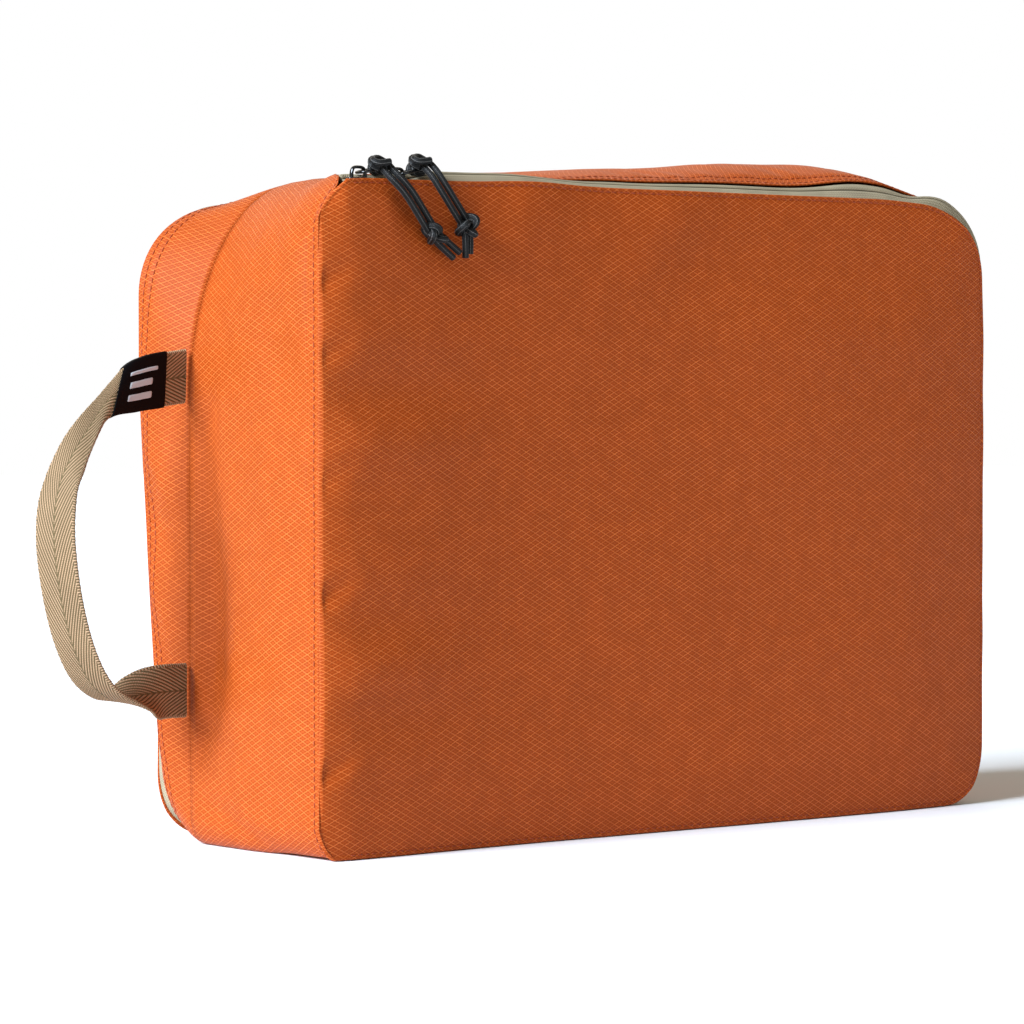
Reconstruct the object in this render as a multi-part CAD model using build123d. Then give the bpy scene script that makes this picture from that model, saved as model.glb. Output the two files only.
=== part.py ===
from build123d import *
import os
from math import atan, degrees, radians, tan

# Packing cube, millimetres. +Z is up, X runs along the body, Y through its depth.
# The origin is on the base, midway along the body and midway between the two flaps.
# The front flap faces -Y and the carrying handle is on the -X end.
# The back half is the front half turned 180 degrees about Z, except for its depth.

# Body
BODY_LENGTH = 360.0
BODY_DEPTH = 110.0
MID_SEAM_Y = 25.0            # seam between the deep front and the shallow back gusset
WALL = 1.2                   # fabric with its coating and seam allowance
GUSSET_EDGE_TOP = 256.0      # gusset height beside each zipper
GUSSET_CROWN_TOP = 266.0     # gusset height at the mid seam
GUSSET_EDGE_Y = 45.5         # zipper side edge of each gusset
CORNER_ZIP_R = 32.0          # corners that the zipper runs round
CORNER_HINGE_R = 16.0        # corners at the flap's sewn hinge
CORNER_MID_R = 44.0          # mid seam corners
BASE_TRIM = 0.1              # cut off below the base, to leave it one true plane

# Flaps
HALF_LENGTH = BODY_LENGTH / 2
HALF_DEPTH = BODY_DEPTH / 2
FLAP_MARGIN = 1.0            # flap edge inside the gusset outline
FLAP_BACK_Y = HALF_DEPTH - WALL
HINGE_GAP = 0.3

# Zipper: two tapes edge to edge, with the coil on the inside
TAPE_THICK = 0.8
TAPE_GAP = 1.2
ZIP_Y = 50.0                 # where the two tapes meet
TAPE_START = 12.3            # distance of the tape's end from the hinge seam
GUSSET_TAPE_END_Y = 45.1
COIL_R = 0.8
COIL_CLEAR = 0.2

# Sliders
SLIDER_LENGTH = 11.0
SLIDER_WIDTH = 6.4
SLIDER_PLATE = 1.0
SLIDER_CLEAR = 0.4
CROWN_HEIGHT = 4.4
CROWN_SPAN = 7.0
CROWN_BAR = 1.1
CROWN_WIDTH = 2.0
SLIDER_A_X = -157.0
SLIDER_B_X = -138.0

# Wire pullers
WIRE_R = 0.65
PULLER_LENGTH = 14.0
PULLER_HALF_WIDTH = 3.0
PULLER_LIFT = 2.0            # inner bar above the slider's plate
PULLER_RISE = 4.6            # outer bar above the inner bar

# Cord pulls: a doubled cord, a knot and two free tails
CORD_D = 2.6
STRAND_OFFSET = Vector(1.32, 0.0, 0.92)
ROUTE_A = [
    (-144.2, -54.4, 263.4),
    (-142.8, -58.6, 261.4),
    (-140.4, -60.6, 252.6),
    (-135.2, -60.2, 243.6),
    (-129.2, -60.0, 236.0),
    (-122.4, -59.6, 231.2),
    (-117.2, -59.2, 228.8),
]
ROUTE_B = [
    (-125.2, -54.4, 263.6),
    (-124.4, -58.8, 262.2),
    (-122.6, -61.0, 254.0),
    (-118.2, -60.6, 245.4),
    (-112.8, -60.2, 238.4),
    (-110.4, -60.4, 231.6),
    (-110.0, -60.0, 226.6),
]
KNOT_AT = 4                  # the route's point at the knot's middle
KNOT_RADII_A = (4.6, 3.6, 3.9)
KNOT_RADII_B = (4.2, 3.6, 4.8)

# Handle: one strip of webbing whose ends are sewn into the mid seam
WEB_WIDTH = 21.0
WEB_THICK = 1.8
HANDLE_PIVOT = Vector(-183.6, MID_SEAM_Y, 0.0)
HANDLE_SWING = 11.0          # degrees towards the front from square to the end
HANDLE_TOP_Z = 180.0
HANDLE_LOW_Z = 62.0
HANDLE_REACH = 68.0
HANDLE_BEND_R = 28.0
TAB_START = 1.0
TAB_END = 41.0
LABEL_START = 14.0
LABEL_END = 38.0
LABEL_THICK = 0.6

TURN_TO_BACK = Rotation(0, 0, 180)


def upright_plane(y):
    """Plane at depth y whose local x and y are the model's X and Z."""
    return Plane(origin=(0, y, 0), x_dir=(1, 0, 0), z_dir=(0, -1, 0))


def outline(y, left, right, low, top, r_left, r_right):
    """Rounded rectangle with one corner radius at each end."""
    edges = [
        Line((left + r_left, low), (right - r_right, low)),
        CenterArc((right - r_right, low + r_right), r_right, 270, 90),
        Line((right, low + r_right), (right, top - r_right)),
        CenterArc((right - r_right, top - r_right), r_right, 0, 90),
        Line((right - r_right, top), (left + r_left, top)),
        CenterArc((left + r_left, top - r_left), r_left, 90, 90),
        Line((left, top - r_left), (left, low + r_left)),
        CenterArc((left + r_left, low + r_left), r_left, 180, 90),
    ]
    return upright_plane(y) * make_face(edges)


def gusset_outline(y, top, r_left, r_right, inset=0.0):
    """The gusset's section at depth y, drawn in by inset."""
    return outline(
        y,
        -HALF_LENGTH + inset,
        HALF_LENGTH - inset,
        inset - BASE_TRIM,
        top - inset,
        r_left - inset,
        r_right - inset,
    )


def front_edge_outline(y, inset=0.0):
    """The gusset's section beside the front zipper."""
    return gusset_outline(y, GUSSET_EDGE_TOP, CORNER_HINGE_R, CORNER_ZIP_R, inset)


def mid_outline(y, inset=0.0):
    """The gusset's section at the mid seam."""
    return gusset_outline(y, GUSSET_CROWN_TOP, CORNER_MID_R, CORNER_MID_R, inset)


def edge_band(y_from, y_to, inset_from, inset_to):
    """A band that follows the front edge section, between two insets."""
    depth = y_to - y_from
    outer = extrude(front_edge_outline(y_to, inset_from), depth)
    inner = extrude(front_edge_outline(y_to, inset_to), depth)
    return outer - inner


def keep_right_of(shape, x):
    """The part of shape beyond x."""
    return shape & Pos(x + HALF_LENGTH, 0, HALF_LENGTH) * Box(2 * HALF_LENGTH, 400, 800)


def keep_left_of(shape, x):
    """The part of shape before x."""
    return shape & Pos(x - HALF_LENGTH, 0, HALF_LENGTH) * Box(2 * HALF_LENGTH, 400, 800)


def make_gusset_shell(edge_y, mid_y):
    """A tube from the section beside the zipper to the one at the mid seam."""
    outer = loft([front_edge_outline(edge_y), mid_outline(mid_y)], ruled=True)
    inner = loft([front_edge_outline(edge_y, WALL), mid_outline(mid_y, WALL)], ruled=True)
    below_base = slab(-HALF_LENGTH, HALF_LENGTH, -HALF_DEPTH, HALF_DEPTH, -1.0, 0.0)
    return outer - inner - below_base


def make_hinge_return(tape_start_x):
    """The gusset's end wall carried forward to the flap's hinge seam."""
    band = edge_band(-FLAP_BACK_Y + HINGE_GAP, -GUSSET_EDGE_Y, 0.0, WALL)
    below_base = slab(-HALF_LENGTH, HALF_LENGTH, -HALF_DEPTH, HALF_DEPTH, -1.0, 0.0)
    return keep_left_of(band, tape_start_x - HINGE_GAP) - below_base


def make_flap_panel():
    """The front flap, flat, with its hinge along the -X edge."""
    face = outline(
        -FLAP_BACK_Y,
        -HALF_LENGTH,
        HALF_LENGTH - FLAP_MARGIN,
        FLAP_MARGIN,
        GUSSET_EDGE_TOP - FLAP_MARGIN,
        CORNER_HINGE_R,
        CORNER_ZIP_R,
    )
    return extrude(face, WALL)


def make_tape(y_from, y_to):
    """One zipper tape, on the three sides that the zipper runs along."""
    band = edge_band(y_from, y_to, WALL, WALL + TAPE_THICK)
    return keep_right_of(band, -HALF_LENGTH + TAPE_START)


def make_coil(y):
    """One coil, along the inner face of its tape."""
    inset = WALL + TAPE_THICK + COIL_CLEAR + COIL_R
    radius = CORNER_ZIP_R - inset
    start_x = -HALF_LENGTH + TAPE_START
    right = HALF_LENGTH - inset
    top = GUSSET_EDGE_TOP - inset
    low = inset
    path = Wire(
        [
            Line((start_x, top), (right - radius, top)),
            CenterArc((right - radius, top - radius), radius, 90, -90),
            Line((right, top - radius), (right, low + radius)),
            CenterArc((right - radius, low + radius), radius, 0, -90),
            Line((right - radius, low), (start_x, low)),
        ]
    )
    section = Plane(origin=(start_x, y, top), z_dir=(1, 0, 0)) * Circle(COIL_R)
    return sweep(section, path=upright_plane(y) * path)


def slab(x_from, x_to, y_from, y_to, z_from, z_to):
    """A box given by its limits."""
    centre = ((x_from + x_to) / 2, (y_from + y_to) / 2, (z_from + z_to) / 2)
    return Pos(*centre) * Box(x_to - x_from, y_to - y_from, z_to - z_from)


def slider_levels():
    """Heights of the slider's lower plate, upper plate and crown."""
    tape_top = GUSSET_EDGE_TOP - WALL
    upper = tape_top + SLIDER_CLEAR
    coil_low = tape_top - TAPE_THICK - COIL_CLEAR - 2 * COIL_R
    lower = coil_low - SLIDER_CLEAR
    return lower, upper, upper + SLIDER_PLATE


def make_slider(x):
    """Two plates joined by a post, with an arched crown for the puller."""
    lower, upper, plate_top = slider_levels()
    half_long = SLIDER_LENGTH / 2
    half_wide = SLIDER_WIDTH / 2
    post_half = TAPE_GAP / 4
    ends = (x - half_long, x + half_long, -ZIP_Y - half_wide, -ZIP_Y + half_wide)
    body = slab(*ends, upper, plate_top)
    body += slab(*ends, lower - SLIDER_PLATE, lower)
    body = fillet(body.edges().filter_by(Axis.Z), SLIDER_WIDTH / 4)
    body += slab(x - half_long + 1.0, x - 0.5, -ZIP_Y - post_half, -ZIP_Y + post_half, lower, upper)
    body += slab(x - 4.0, x + 4.0, -ZIP_Y - half_wide, -ZIP_Y - half_wide + 0.6, lower, lower + 1.6)
    arch = slab(
        x - CROWN_SPAN / 2,
        x + CROWN_SPAN / 2,
        -ZIP_Y - CROWN_WIDTH / 2,
        -ZIP_Y + CROWN_WIDTH / 2,
        plate_top,
        plate_top + CROWN_HEIGHT,
    )
    arch -= slab(
        x - CROWN_SPAN / 2 + CROWN_BAR,
        x + CROWN_SPAN / 2 - CROWN_BAR,
        -ZIP_Y - CROWN_WIDTH,
        -ZIP_Y + CROWN_WIDTH,
        plate_top,
        plate_top + CROWN_HEIGHT - CROWN_BAR,
    )
    top_edges = arch.edges().filter_by(Axis.Y).group_by(Axis.Z)[-1]
    arch = fillet(top_edges, CROWN_BAR)
    return body + arch


def make_puller(x):
    """A closed wire loop through the crown, its free end raised."""
    plate_top = slider_levels()[2]
    tilt = degrees(atan(PULLER_RISE / PULLER_LENGTH))
    centre_x = PULLER_LENGTH / 2
    loop_path = RectangleRounded(PULLER_LENGTH, 2 * PULLER_HALF_WIDTH, 1.6).wire()
    start = loop_path @ 0
    heading = loop_path % 0
    section = Plane(origin=start, z_dir=heading) * Circle(WIRE_R)
    loop = Pos(centre_x, 0, 0) * sweep(section, path=loop_path)
    at_crown = Pos(x + 0.6, -ZIP_Y, plate_top + PULLER_LIFT)
    return at_crown * Rotation(0, -tilt, 0) * loop


def strand_route(route, side):
    """One of the two strands, set off to its side of the doubled cord."""
    return [Vector(*point) + STRAND_OFFSET * side for point in route]


def bend_radii(points):
    """The largest arc that each corner's two runs allow."""
    radii = []
    for before, here, after in zip(points, points[1:], points[2:]):
        run_in = here - before
        run_out = after - here
        half_turn = radians(run_in.get_angle(run_out)) / 2
        radii.append(0.45 * min(run_in.length, run_out.length) / tan(half_turn))
    return radii


def make_strand(route, side):
    """A round cord along straight runs joined by tangent arcs."""
    points = strand_route(route, side)
    radii = bend_radii(points)
    path = FilletPolyline(*points, radius=radii)
    section = Plane(origin=path @ 0, z_dir=path % 0) * Circle(CORD_D / 2)
    solid = sweep(section, path=path)
    expected = section.area * path.length
    print(
        "cord length %.1f  volume ratio %.4f  radii %s"
        % (path.length, solid.volume / expected, [round(r, 1) for r in radii])
    )
    return solid


def make_knot(route, radii):
    """The outer shape of the overhand knot in the doubled cord."""
    return Pos(*route[KNOT_AT]) * scale(Sphere(1.0), by=radii)


def in_loop_plane(shape):
    """Places a shape drawn with x out from the seam, y across and z up."""
    return Pos(*HANDLE_PIVOT) * Rotation(0, 0, 180 + HANDLE_SWING) * shape


def make_webbing():
    """The strap: two upright ends and a bowed middle with its face outwards."""
    reach = HANDLE_REACH
    bend = HANDLE_BEND_R
    middle = Wire(
        [
            Line((TAB_END - 2.0, HANDLE_TOP_Z), (reach - bend, HANDLE_TOP_Z)),
            CenterArc((reach - bend, HANDLE_TOP_Z - bend), bend, 90, -90),
            Line((reach, HANDLE_TOP_Z - bend), (reach, HANDLE_LOW_Z + bend)),
            CenterArc((reach - bend, HANDLE_LOW_Z + bend), bend, 0, -90),
            Line((reach - bend, HANDLE_LOW_Z), (TAB_END - 2.0, HANDLE_LOW_Z)),
        ]
    )
    start = Plane(origin=(TAB_END - 2.0, 0, HANDLE_TOP_Z), x_dir=(0, 1, 0), z_dir=(1, 0, 0))
    strip = sweep(start * Rectangle(WEB_WIDTH, WEB_THICK), path=upright_plane(0) * middle)
    for z in (HANDLE_TOP_Z, HANDLE_LOW_Z):
        half = WEB_WIDTH / 2
        strip += slab(TAB_START, TAB_END, -WEB_THICK / 2, WEB_THICK / 2, z - half, z + half)
    return strip


def make_label():
    """A woven sleeve round the strap's upper end."""
    half_thick = WEB_THICK / 2
    half_wide = WEB_WIDTH / 2
    outer = slab(
        LABEL_START,
        LABEL_END,
        -half_thick - LABEL_THICK,
        half_thick + LABEL_THICK,
        HANDLE_TOP_Z - half_wide - LABEL_THICK,
        HANDLE_TOP_Z + half_wide + LABEL_THICK,
    )
    bore = slab(
        LABEL_START,
        LABEL_END,
        -half_thick,
        half_thick,
        HANDLE_TOP_Z - half_wide,
        HANDLE_TOP_Z + half_wide,
    )
    return outer - bore


def make_handle_ends():
    """The strap's two ends where the mid seam holds them."""
    half = WEB_WIDTH / 2
    y_low = MID_SEAM_Y - WEB_THICK / 2
    y_high = MID_SEAM_Y + WEB_THICK / 2
    x_out = -HALF_LENGTH - 2.6
    x_in = -HALF_LENGTH + WALL
    upper = slab(x_out, x_in, y_low, y_high, HANDLE_TOP_Z - half, HANDLE_TOP_Z + half)
    lower = slab(x_out, x_in, y_low, y_high, HANDLE_LOW_Z - half, HANDLE_LOW_Z + half)
    return Compound(children=[upper, lower])


def make_divider():
    """The inner wall between the two compartments."""
    face = mid_outline(MID_SEAM_Y - 0.1, WALL + 0.3)
    return extrude(face, 1.0)


def make_mid_seam_binding():
    """Folded tape over the seam allowances round the divider."""
    y_to = MID_SEAM_Y + 1.6
    outer = extrude(mid_outline(y_to, WALL + 2.0), 1.6)
    inner = extrude(mid_outline(y_to, WALL + 8.0), 1.6)
    return outer - inner


def make_hinge_binding():
    """Folded tape over the seam allowance inside the front hinge."""
    x_wall = -HALF_LENGTH + WALL
    return slab(x_wall, x_wall + 1.4, -53.2, -46.0, 18.0, 238.0)


os.makedirs("parts", exist_ok=True)
tape_start_x = -HALF_LENGTH + TAPE_START
nodes = {}

seam_slots = make_handle_ends()
front_gusset = make_gusset_shell(-GUSSET_EDGE_Y, MID_SEAM_Y) + make_hinge_return(tape_start_x)
back_shell = make_gusset_shell(-GUSSET_EDGE_Y, -MID_SEAM_Y) + make_hinge_return(tape_start_x)
nodes["front_gusset"] = front_gusset - seam_slots
nodes["back_gusset"] = TURN_TO_BACK * back_shell - seam_slots
nodes["divider"] = make_divider()
nodes["mid_seam_binding"] = make_mid_seam_binding()
nodes["handle_ends"] = seam_slots
nodes["handle_webbing"] = in_loop_plane(make_webbing())
nodes["size_label"] = in_loop_plane(make_label())

front_half = {
    "hinge_binding": make_hinge_binding(),
    "panel": make_flap_panel(),
    "flap_tape": make_tape(-FLAP_BACK_Y, -ZIP_Y - TAPE_GAP / 2),
    "gusset_tape": make_tape(-ZIP_Y + TAPE_GAP / 2, -GUSSET_TAPE_END_Y),
    "flap_coil": make_coil(-ZIP_Y - TAPE_GAP / 2 - COIL_R),
    "gusset_coil": make_coil(-ZIP_Y + TAPE_GAP / 2 + COIL_R),
}
sliders = {
    "a": (SLIDER_A_X, ROUTE_A, KNOT_RADII_A),
    "b": (SLIDER_B_X, ROUTE_B, KNOT_RADII_B),
}
for letter, (slider_x, route, knot_radii) in sliders.items():
    front_half["slider_" + letter] = make_slider(slider_x)
    front_half["puller_" + letter] = make_puller(slider_x)
    front_half["cord_" + letter + "_left"] = make_strand(route, -1)
    front_half["cord_" + letter + "_right"] = make_strand(route, 1)
    front_half["knot_" + letter] = make_knot(route, knot_radii)

for name, shape in front_half.items():
    nodes["front_" + name] = shape
    nodes["back_" + name] = TURN_TO_BACK * shape

for name, shape in nodes.items():
    export_step(shape, os.path.join("parts", name + ".step"))
print(len(nodes), "nodes")
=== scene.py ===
"""Packing cube: the looks. The front is at -Y, the handle on the -X end, +Z up.

Shapes are worked out in millimetres and turned to metres when a mesh is made.
The back half is built like the front half and then turned half round about Z.
"""
import math

import bpy
import numpy as np
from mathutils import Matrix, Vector


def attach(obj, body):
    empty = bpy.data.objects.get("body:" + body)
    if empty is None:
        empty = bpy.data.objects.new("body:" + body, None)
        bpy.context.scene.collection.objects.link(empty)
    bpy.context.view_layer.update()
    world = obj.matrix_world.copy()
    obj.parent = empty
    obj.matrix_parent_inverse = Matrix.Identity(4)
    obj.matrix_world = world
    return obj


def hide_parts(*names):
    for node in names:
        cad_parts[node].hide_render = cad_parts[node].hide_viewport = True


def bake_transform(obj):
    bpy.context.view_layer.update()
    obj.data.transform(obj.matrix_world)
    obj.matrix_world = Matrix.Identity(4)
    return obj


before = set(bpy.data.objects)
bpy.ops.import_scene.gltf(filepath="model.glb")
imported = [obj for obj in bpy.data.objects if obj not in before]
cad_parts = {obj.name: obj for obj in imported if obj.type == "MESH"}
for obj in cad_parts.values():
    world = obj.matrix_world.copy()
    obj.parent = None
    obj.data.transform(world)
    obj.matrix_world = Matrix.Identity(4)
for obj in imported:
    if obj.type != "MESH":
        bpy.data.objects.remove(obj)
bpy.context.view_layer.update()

MM = 0.001

# Body, millimetres
HALF = 180.0
MID_Y = 25.0                 # seam between the deep front and the shallow back gusset
MID_TOP = 262.0
EDGE_Y = 45.6                # folded edge of each gusset beside its zipper
HINGE_Y = 56.2               # folded edge of each gusset at its flap's hinge seam
BACK_TOP = 249.5             # top of the back gusset's folded edge
FLAP_Y = 55.0                # outer face of each flap
FLAP_LOW = 0.3
FLAP_TOP = 255.0
FLAP_END = HALF - 2.5        # the flap's edge opposite its hinge
ZIPPER_START = 12.3 - HALF   # where the zipper leaves the hinge end, above and below
CLOTH = 0.45                 # thickness of the shell fabric

# Steps round each outline, from the middle of the bottom, up the hinge side and over the top
HALF_BOTTOM_STEPS = 62
CORNER_STEPS = 18
SIDE_STEPS = 80
TOP_STEPS = 2 * HALF_BOTTOM_STEPS

# Zipper tapes
TAPE_THICK = 0.5
TAPE_ROWS = 13
UNDER_RIM = 0.9              # how far inside the flap's rim the tapes' surface starts
UNDER_EDGE = 1.75            # how far inside the gusset's edge it ends
BEHIND_RIM = 0.7             # how far behind the flap's outer face it lies at the rim

# Places across the tapes, as shares of the way from the flap's rim, 0, to the gusset's edge, 1
FLAP_HEM = -0.30             # how far a tape reaches under the flap
FLAP_TAPE_EDGE = 0.475
GUSSET_TAPE_EDGE = 0.525
GUSSET_HEM = 1.45            # how far a tape reaches under the gusset
FLAP_COIL = 0.40
GUSSET_COIL = 0.60

# Stitching
STITCH_PITCH = 3.3
STITCH_LENGTH = 2.5
THREAD_R = 0.26

# Handle
WEB_WIDTH = 21.0
WEB_THICK = 1.6
WEB_SLANT = math.radians(24) # lean of the webbing's ridges from its length
WEB_RIDGE = 1.25             # pitch of the ridges
WEB_BEAD = 0.85              # pitch of the beads along a ridge
WEB_RIB = 1.1                # pitch of the ribs on its selvages
HANDLE_POINTS = 640
HANDLE_PIVOT = np.array([-183.6, MID_Y, 0.0])
HANDLE_SWING = math.radians(11.0)

# Cord pulls: the way each doubled cord lies, from its puller to its cut ends
CORD_D = 2.6
CORD_RIBS = 10
STRAND_OFFSET = np.array([1.32, 0.0, 0.92])
ROUTE_A = [
    (-146.8, -54.2, 261.0),
    (-147.0, -58.4, 257.8),
    (-141.9, -61.4, 252.0),
    (-135.4, -61.4, 244.0),
    (-128.6, -61.4, 235.2),
    (-122.4, -61.0, 231.0),
    (-117.0, -60.6, 227.6),
]
ROUTE_B = [
    (-127.4, -54.4, 262.2),
    (-127.4, -58.8, 259.8),
    (-124.0, -61.4, 253.0),
    (-117.6, -61.4, 245.0),
    (-112.4, -61.4, 238.6),
    (-111.8, -61.2, 232.6),
    (-111.6, -60.8, 227.4),
]
KNOT_AT = 4
TAIL_SPREAD = {"a": 1.15, "b": 0.85}      # how far apart the two tails lie


# ---------------------------------------------------------------- numbers and meshes

def smooth(low, high, value):
    """0 below low, 1 above high and an even curve between them."""
    t = np.clip((value - low) / (high - low), 0.0, 1.0)
    return t * t * (3.0 - 2.0 * t)


def bell(value, centre, width):
    """1 at centre, falling away over width on both sides."""
    return np.exp(-(((value - centre) / width) ** 2))


def uneven(a, b, size, seed):
    """Smooth irregular values of about -1 to 1, with features about size across."""
    draw = np.random.default_rng(seed)
    total = 0.0
    for _ in range(7):
        angle = draw.uniform(0, math.pi)
        wave = 2 * math.pi / (size * draw.uniform(1.3, 3.2))
        shift = draw.uniform(0, 2 * math.pi)
        total = total + np.sin(wave * (a * math.cos(angle) + b * math.sin(angle)) + shift)
    return total / 3.2


def squared(wave, power):
    """A sine or cosine drawn towards a square wave, the more the smaller the power."""
    return np.sign(wave) * np.abs(wave) ** power


def round_angles(count):
    """Even angles of a full turn."""
    return np.linspace(0, 2 * math.pi, count, endpoint=False)


def unit(vectors):
    """Vectors of length 1."""
    size = np.linalg.norm(vectors, axis=-1, keepdims=True)
    return vectors / np.maximum(size, 1e-9)


def arc_length(points):
    """Distance along a line of points, from 0."""
    steps = np.linalg.norm(np.diff(points, axis=0), axis=1)
    return np.concatenate([[0.0], np.cumsum(steps)])


def sample(values, along, distances):
    """Values, known at the distances in along, read off at other distances."""
    return np.stack([np.interp(distances, along, values[:, k]) for k in range(3)], axis=1)


def curve_through(points, count):
    """A smooth Catmull-Rom line through a few points."""
    points = np.asarray(points, float)
    ends = np.vstack([2 * points[0] - points[1], points, 2 * points[-1] - points[-2]])
    place = np.linspace(0, len(points) - 1, count)
    span = np.minimum(place.astype(int), len(points) - 2)
    t = (place - span)[:, None]
    p0, p1, p2, p3 = (ends[span + k] for k in range(4))
    return 0.5 * (
        2 * p1
        + (p2 - p0) * t
        + (2 * p0 - 5 * p1 + 4 * p2 - p3) * t**2
        + (3 * p1 - p0 - 3 * p2 + p3) * t**3
    )


def grid_faces(rows, columns, closed=False, flip=False):
    """Quads of a grid of vertices, row by row. closed joins the last column to the first."""
    faces = []
    wide = columns if closed else columns - 1
    for i in range(rows - 1):
        for j in range(wide):
            k = (j + 1) % columns
            quad = (i * columns + j, i * columns + k, (i + 1) * columns + k, (i + 1) * columns + j)
            faces.append(quad[::-1] if flip else quad)
    return faces


def end_caps(rows, columns):
    """The two faces that close the ends of a tubular grid."""
    last = (rows - 1) * columns
    return [tuple(range(columns))[::-1], tuple(last + k for k in range(columns))]


def grid_normals(grid, closed=False):
    """Unit normals of a grid of points."""
    if closed:
        along = np.roll(grid, -1, axis=1) - np.roll(grid, 1, axis=1)
    else:
        along = np.gradient(grid, axis=1)
    across = np.gradient(grid, axis=0)
    return unit(np.cross(along, across))


def turn_half(points, back):
    """The same points, turned half round about Z for the back half."""
    return points * np.array([-1.0, -1.0, 1.0]) if back else points


def make_object(name, points, faces, cloth=None):
    """A smooth mesh from points in millimetres, with its cloth's own coordinates."""
    mesh = bpy.data.meshes.new(name)
    mesh.from_pydata((np.asarray(points).reshape(-1, 3) * MM).tolist(), [], faces)
    if cloth is not None:
        flat = np.zeros((len(mesh.vertices), 3), np.float32)
        flat[:, : cloth.shape[-1]] = cloth.reshape(-1, cloth.shape[-1])
        layer = mesh.attributes.new("cloth", "FLOAT_VECTOR", "POINT")
        layer.data.foreach_set("vector", flat.ravel())
    mesh.polygons.foreach_set("use_smooth", [True] * len(mesh.polygons))
    mesh.update()
    obj = bpy.data.objects.new(name, mesh)
    bpy.context.scene.collection.objects.link(obj)
    return obj


def apply_modifiers(obj):
    """Makes what the modifiers show into the object's own mesh."""
    bpy.context.view_layer.update()
    graph = bpy.context.evaluated_depsgraph_get()
    mesh = bpy.data.meshes.new_from_object(obj.evaluated_get(graph))
    obj.modifiers.clear()
    obj.data = mesh


def thicken(obj, thickness, inner_slot=0):
    """Gives a sheet its thickness, behind its outer face."""
    solid = obj.modifiers.new("thickness", "SOLIDIFY")
    solid.thickness = thickness * MM
    solid.offset = -1.0
    solid.material_offset = inner_slot
    apply_modifiers(obj)


def paint(obj, *materials):
    """Gives an object its materials."""
    for material in materials:
        obj.data.materials.append(material)


def add_piece(name, shape, materials, body, slot, *nodes, back=False, thickness=0.0):
    """A finished object from a shape's points, faces and cloth coordinates.

    It rides on body and stands for the CAD nodes. A second material goes on a sheet's inner face.
    """
    points, faces, cloth = shape
    obj = make_object(name, turn_half(points, back), faces, cloth)
    if thickness:
        thicken(obj, thickness, inner_slot=len(materials) - 1)
    paint(obj, *materials)
    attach(obj, body)
    if nodes:
        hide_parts(*nodes)
    return obj


def join_parts(parts):
    """One list of points, faces and cloth coordinates from several."""
    points, faces, cloth = [], [], []
    start = 0
    for part_points, part_faces, part_cloth in parts:
        points.append(part_points.reshape(-1, 3))
        cloth.append(part_cloth.reshape(-1, part_cloth.shape[-1]))
        faces.extend(tuple(start + k for k in face) for face in part_faces)
        start += len(points[-1])
    return np.concatenate(points), faces, np.concatenate(cloth)


def tube(line, radius, sides=10, closed=False, ribs=0, rib_depth=0.0):
    """A tube round a line of points; radius may be one number or one for each point."""
    line = np.asarray(line, float)
    count = len(line)
    if closed:
        tangent = unit(np.roll(line, -1, axis=0) - np.roll(line, 1, axis=0))
    else:
        tangent = unit(np.gradient(line, axis=0))
    side = np.cross(tangent[0], [0.31, 0.52, 0.79])
    frames = []
    for step in tangent:
        side = side - step * np.dot(side, step)
        side = side / np.linalg.norm(side)
        frames.append(side)
    side = np.array(frames)
    other = np.cross(tangent, side)
    angle = round_angles(sides)
    reach = np.broadcast_to(np.asarray(radius, float), (count,))[:, None]
    reach = reach * (1.0 - rib_depth * (0.5 - 0.5 * np.cos(ribs * angle))[None, :])
    spokes = side[:, None] * np.cos(angle)[None, :, None] + other[:, None] * np.sin(angle)[None, :, None]
    points = line[:, None] + spokes * reach[:, :, None]
    if closed:
        points = np.concatenate([points, points[:1]])
        line = np.vstack([line, line[:1]])
        count += 1
    along = np.broadcast_to(arc_length(line)[:, None], (count, sides))
    around = np.broadcast_to(angle[None, :] / (2 * math.pi), (count, sides))
    faces = grid_faces(count, sides, closed=True)
    if not closed:
        faces += end_caps(count, sides)
    return points, faces, np.stack([along, around], axis=2)


# ---------------------------------------------------------------- outlines

def outline(left, right, low, top, corners, flatness=(0.0, 0.0, 0.0, 0.0)):
    """X and Z round a body section, clockwise from the middle of the bottom.

    corners are the X and Z radii at lower left, upper left, upper right and lower right;
    flatness draws a corner's arc towards its chord.
    """
    (ax, az), (bx, bz), (cx, cz), (dx, dz) = corners
    parts = []

    def line(start, end, steps):
        t = np.arange(steps)[:, None] / steps
        parts.append(np.array(start) * (1 - t) + np.array(end) * t)

    def corner(centre, radii, start_degrees, flat):
        t = np.arange(CORNER_STEPS) / CORNER_STEPS
        angle = np.radians(start_degrees - 90 * t)
        arc = np.array(centre) + np.stack([radii[0] * np.cos(angle), radii[1] * np.sin(angle)], axis=1)
        last = math.radians(start_degrees - 90)
        end = np.array(centre) + np.array([radii[0] * math.cos(last), radii[1] * math.sin(last)])
        chord = arc[0] * (1 - t[:, None]) + end * t[:, None]
        parts.append(arc * (1 - flat) + chord * flat)

    middle = (left + right) / 2
    line((middle, low), (left + ax, low), HALF_BOTTOM_STEPS)
    corner((left + ax, low + az), (ax, az), 270, flatness[0])
    line((left, low + az), (left, top - bz), SIDE_STEPS)
    corner((left + bx, top - bz), (bx, bz), 180, flatness[1])
    line((left + bx, top), (right - cx, top), TOP_STEPS)
    corner((right - cx, top - cz), (cx, cz), 90, flatness[2])
    line((right, top - cz), (right, low + dz), SIDE_STEPS)
    corner((right - dx, low + dz), (dx, dz), 0, flatness[3])
    line((right - dx, low), (middle, low), HALF_BOTTOM_STEPS)
    return np.concatenate(parts)


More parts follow.
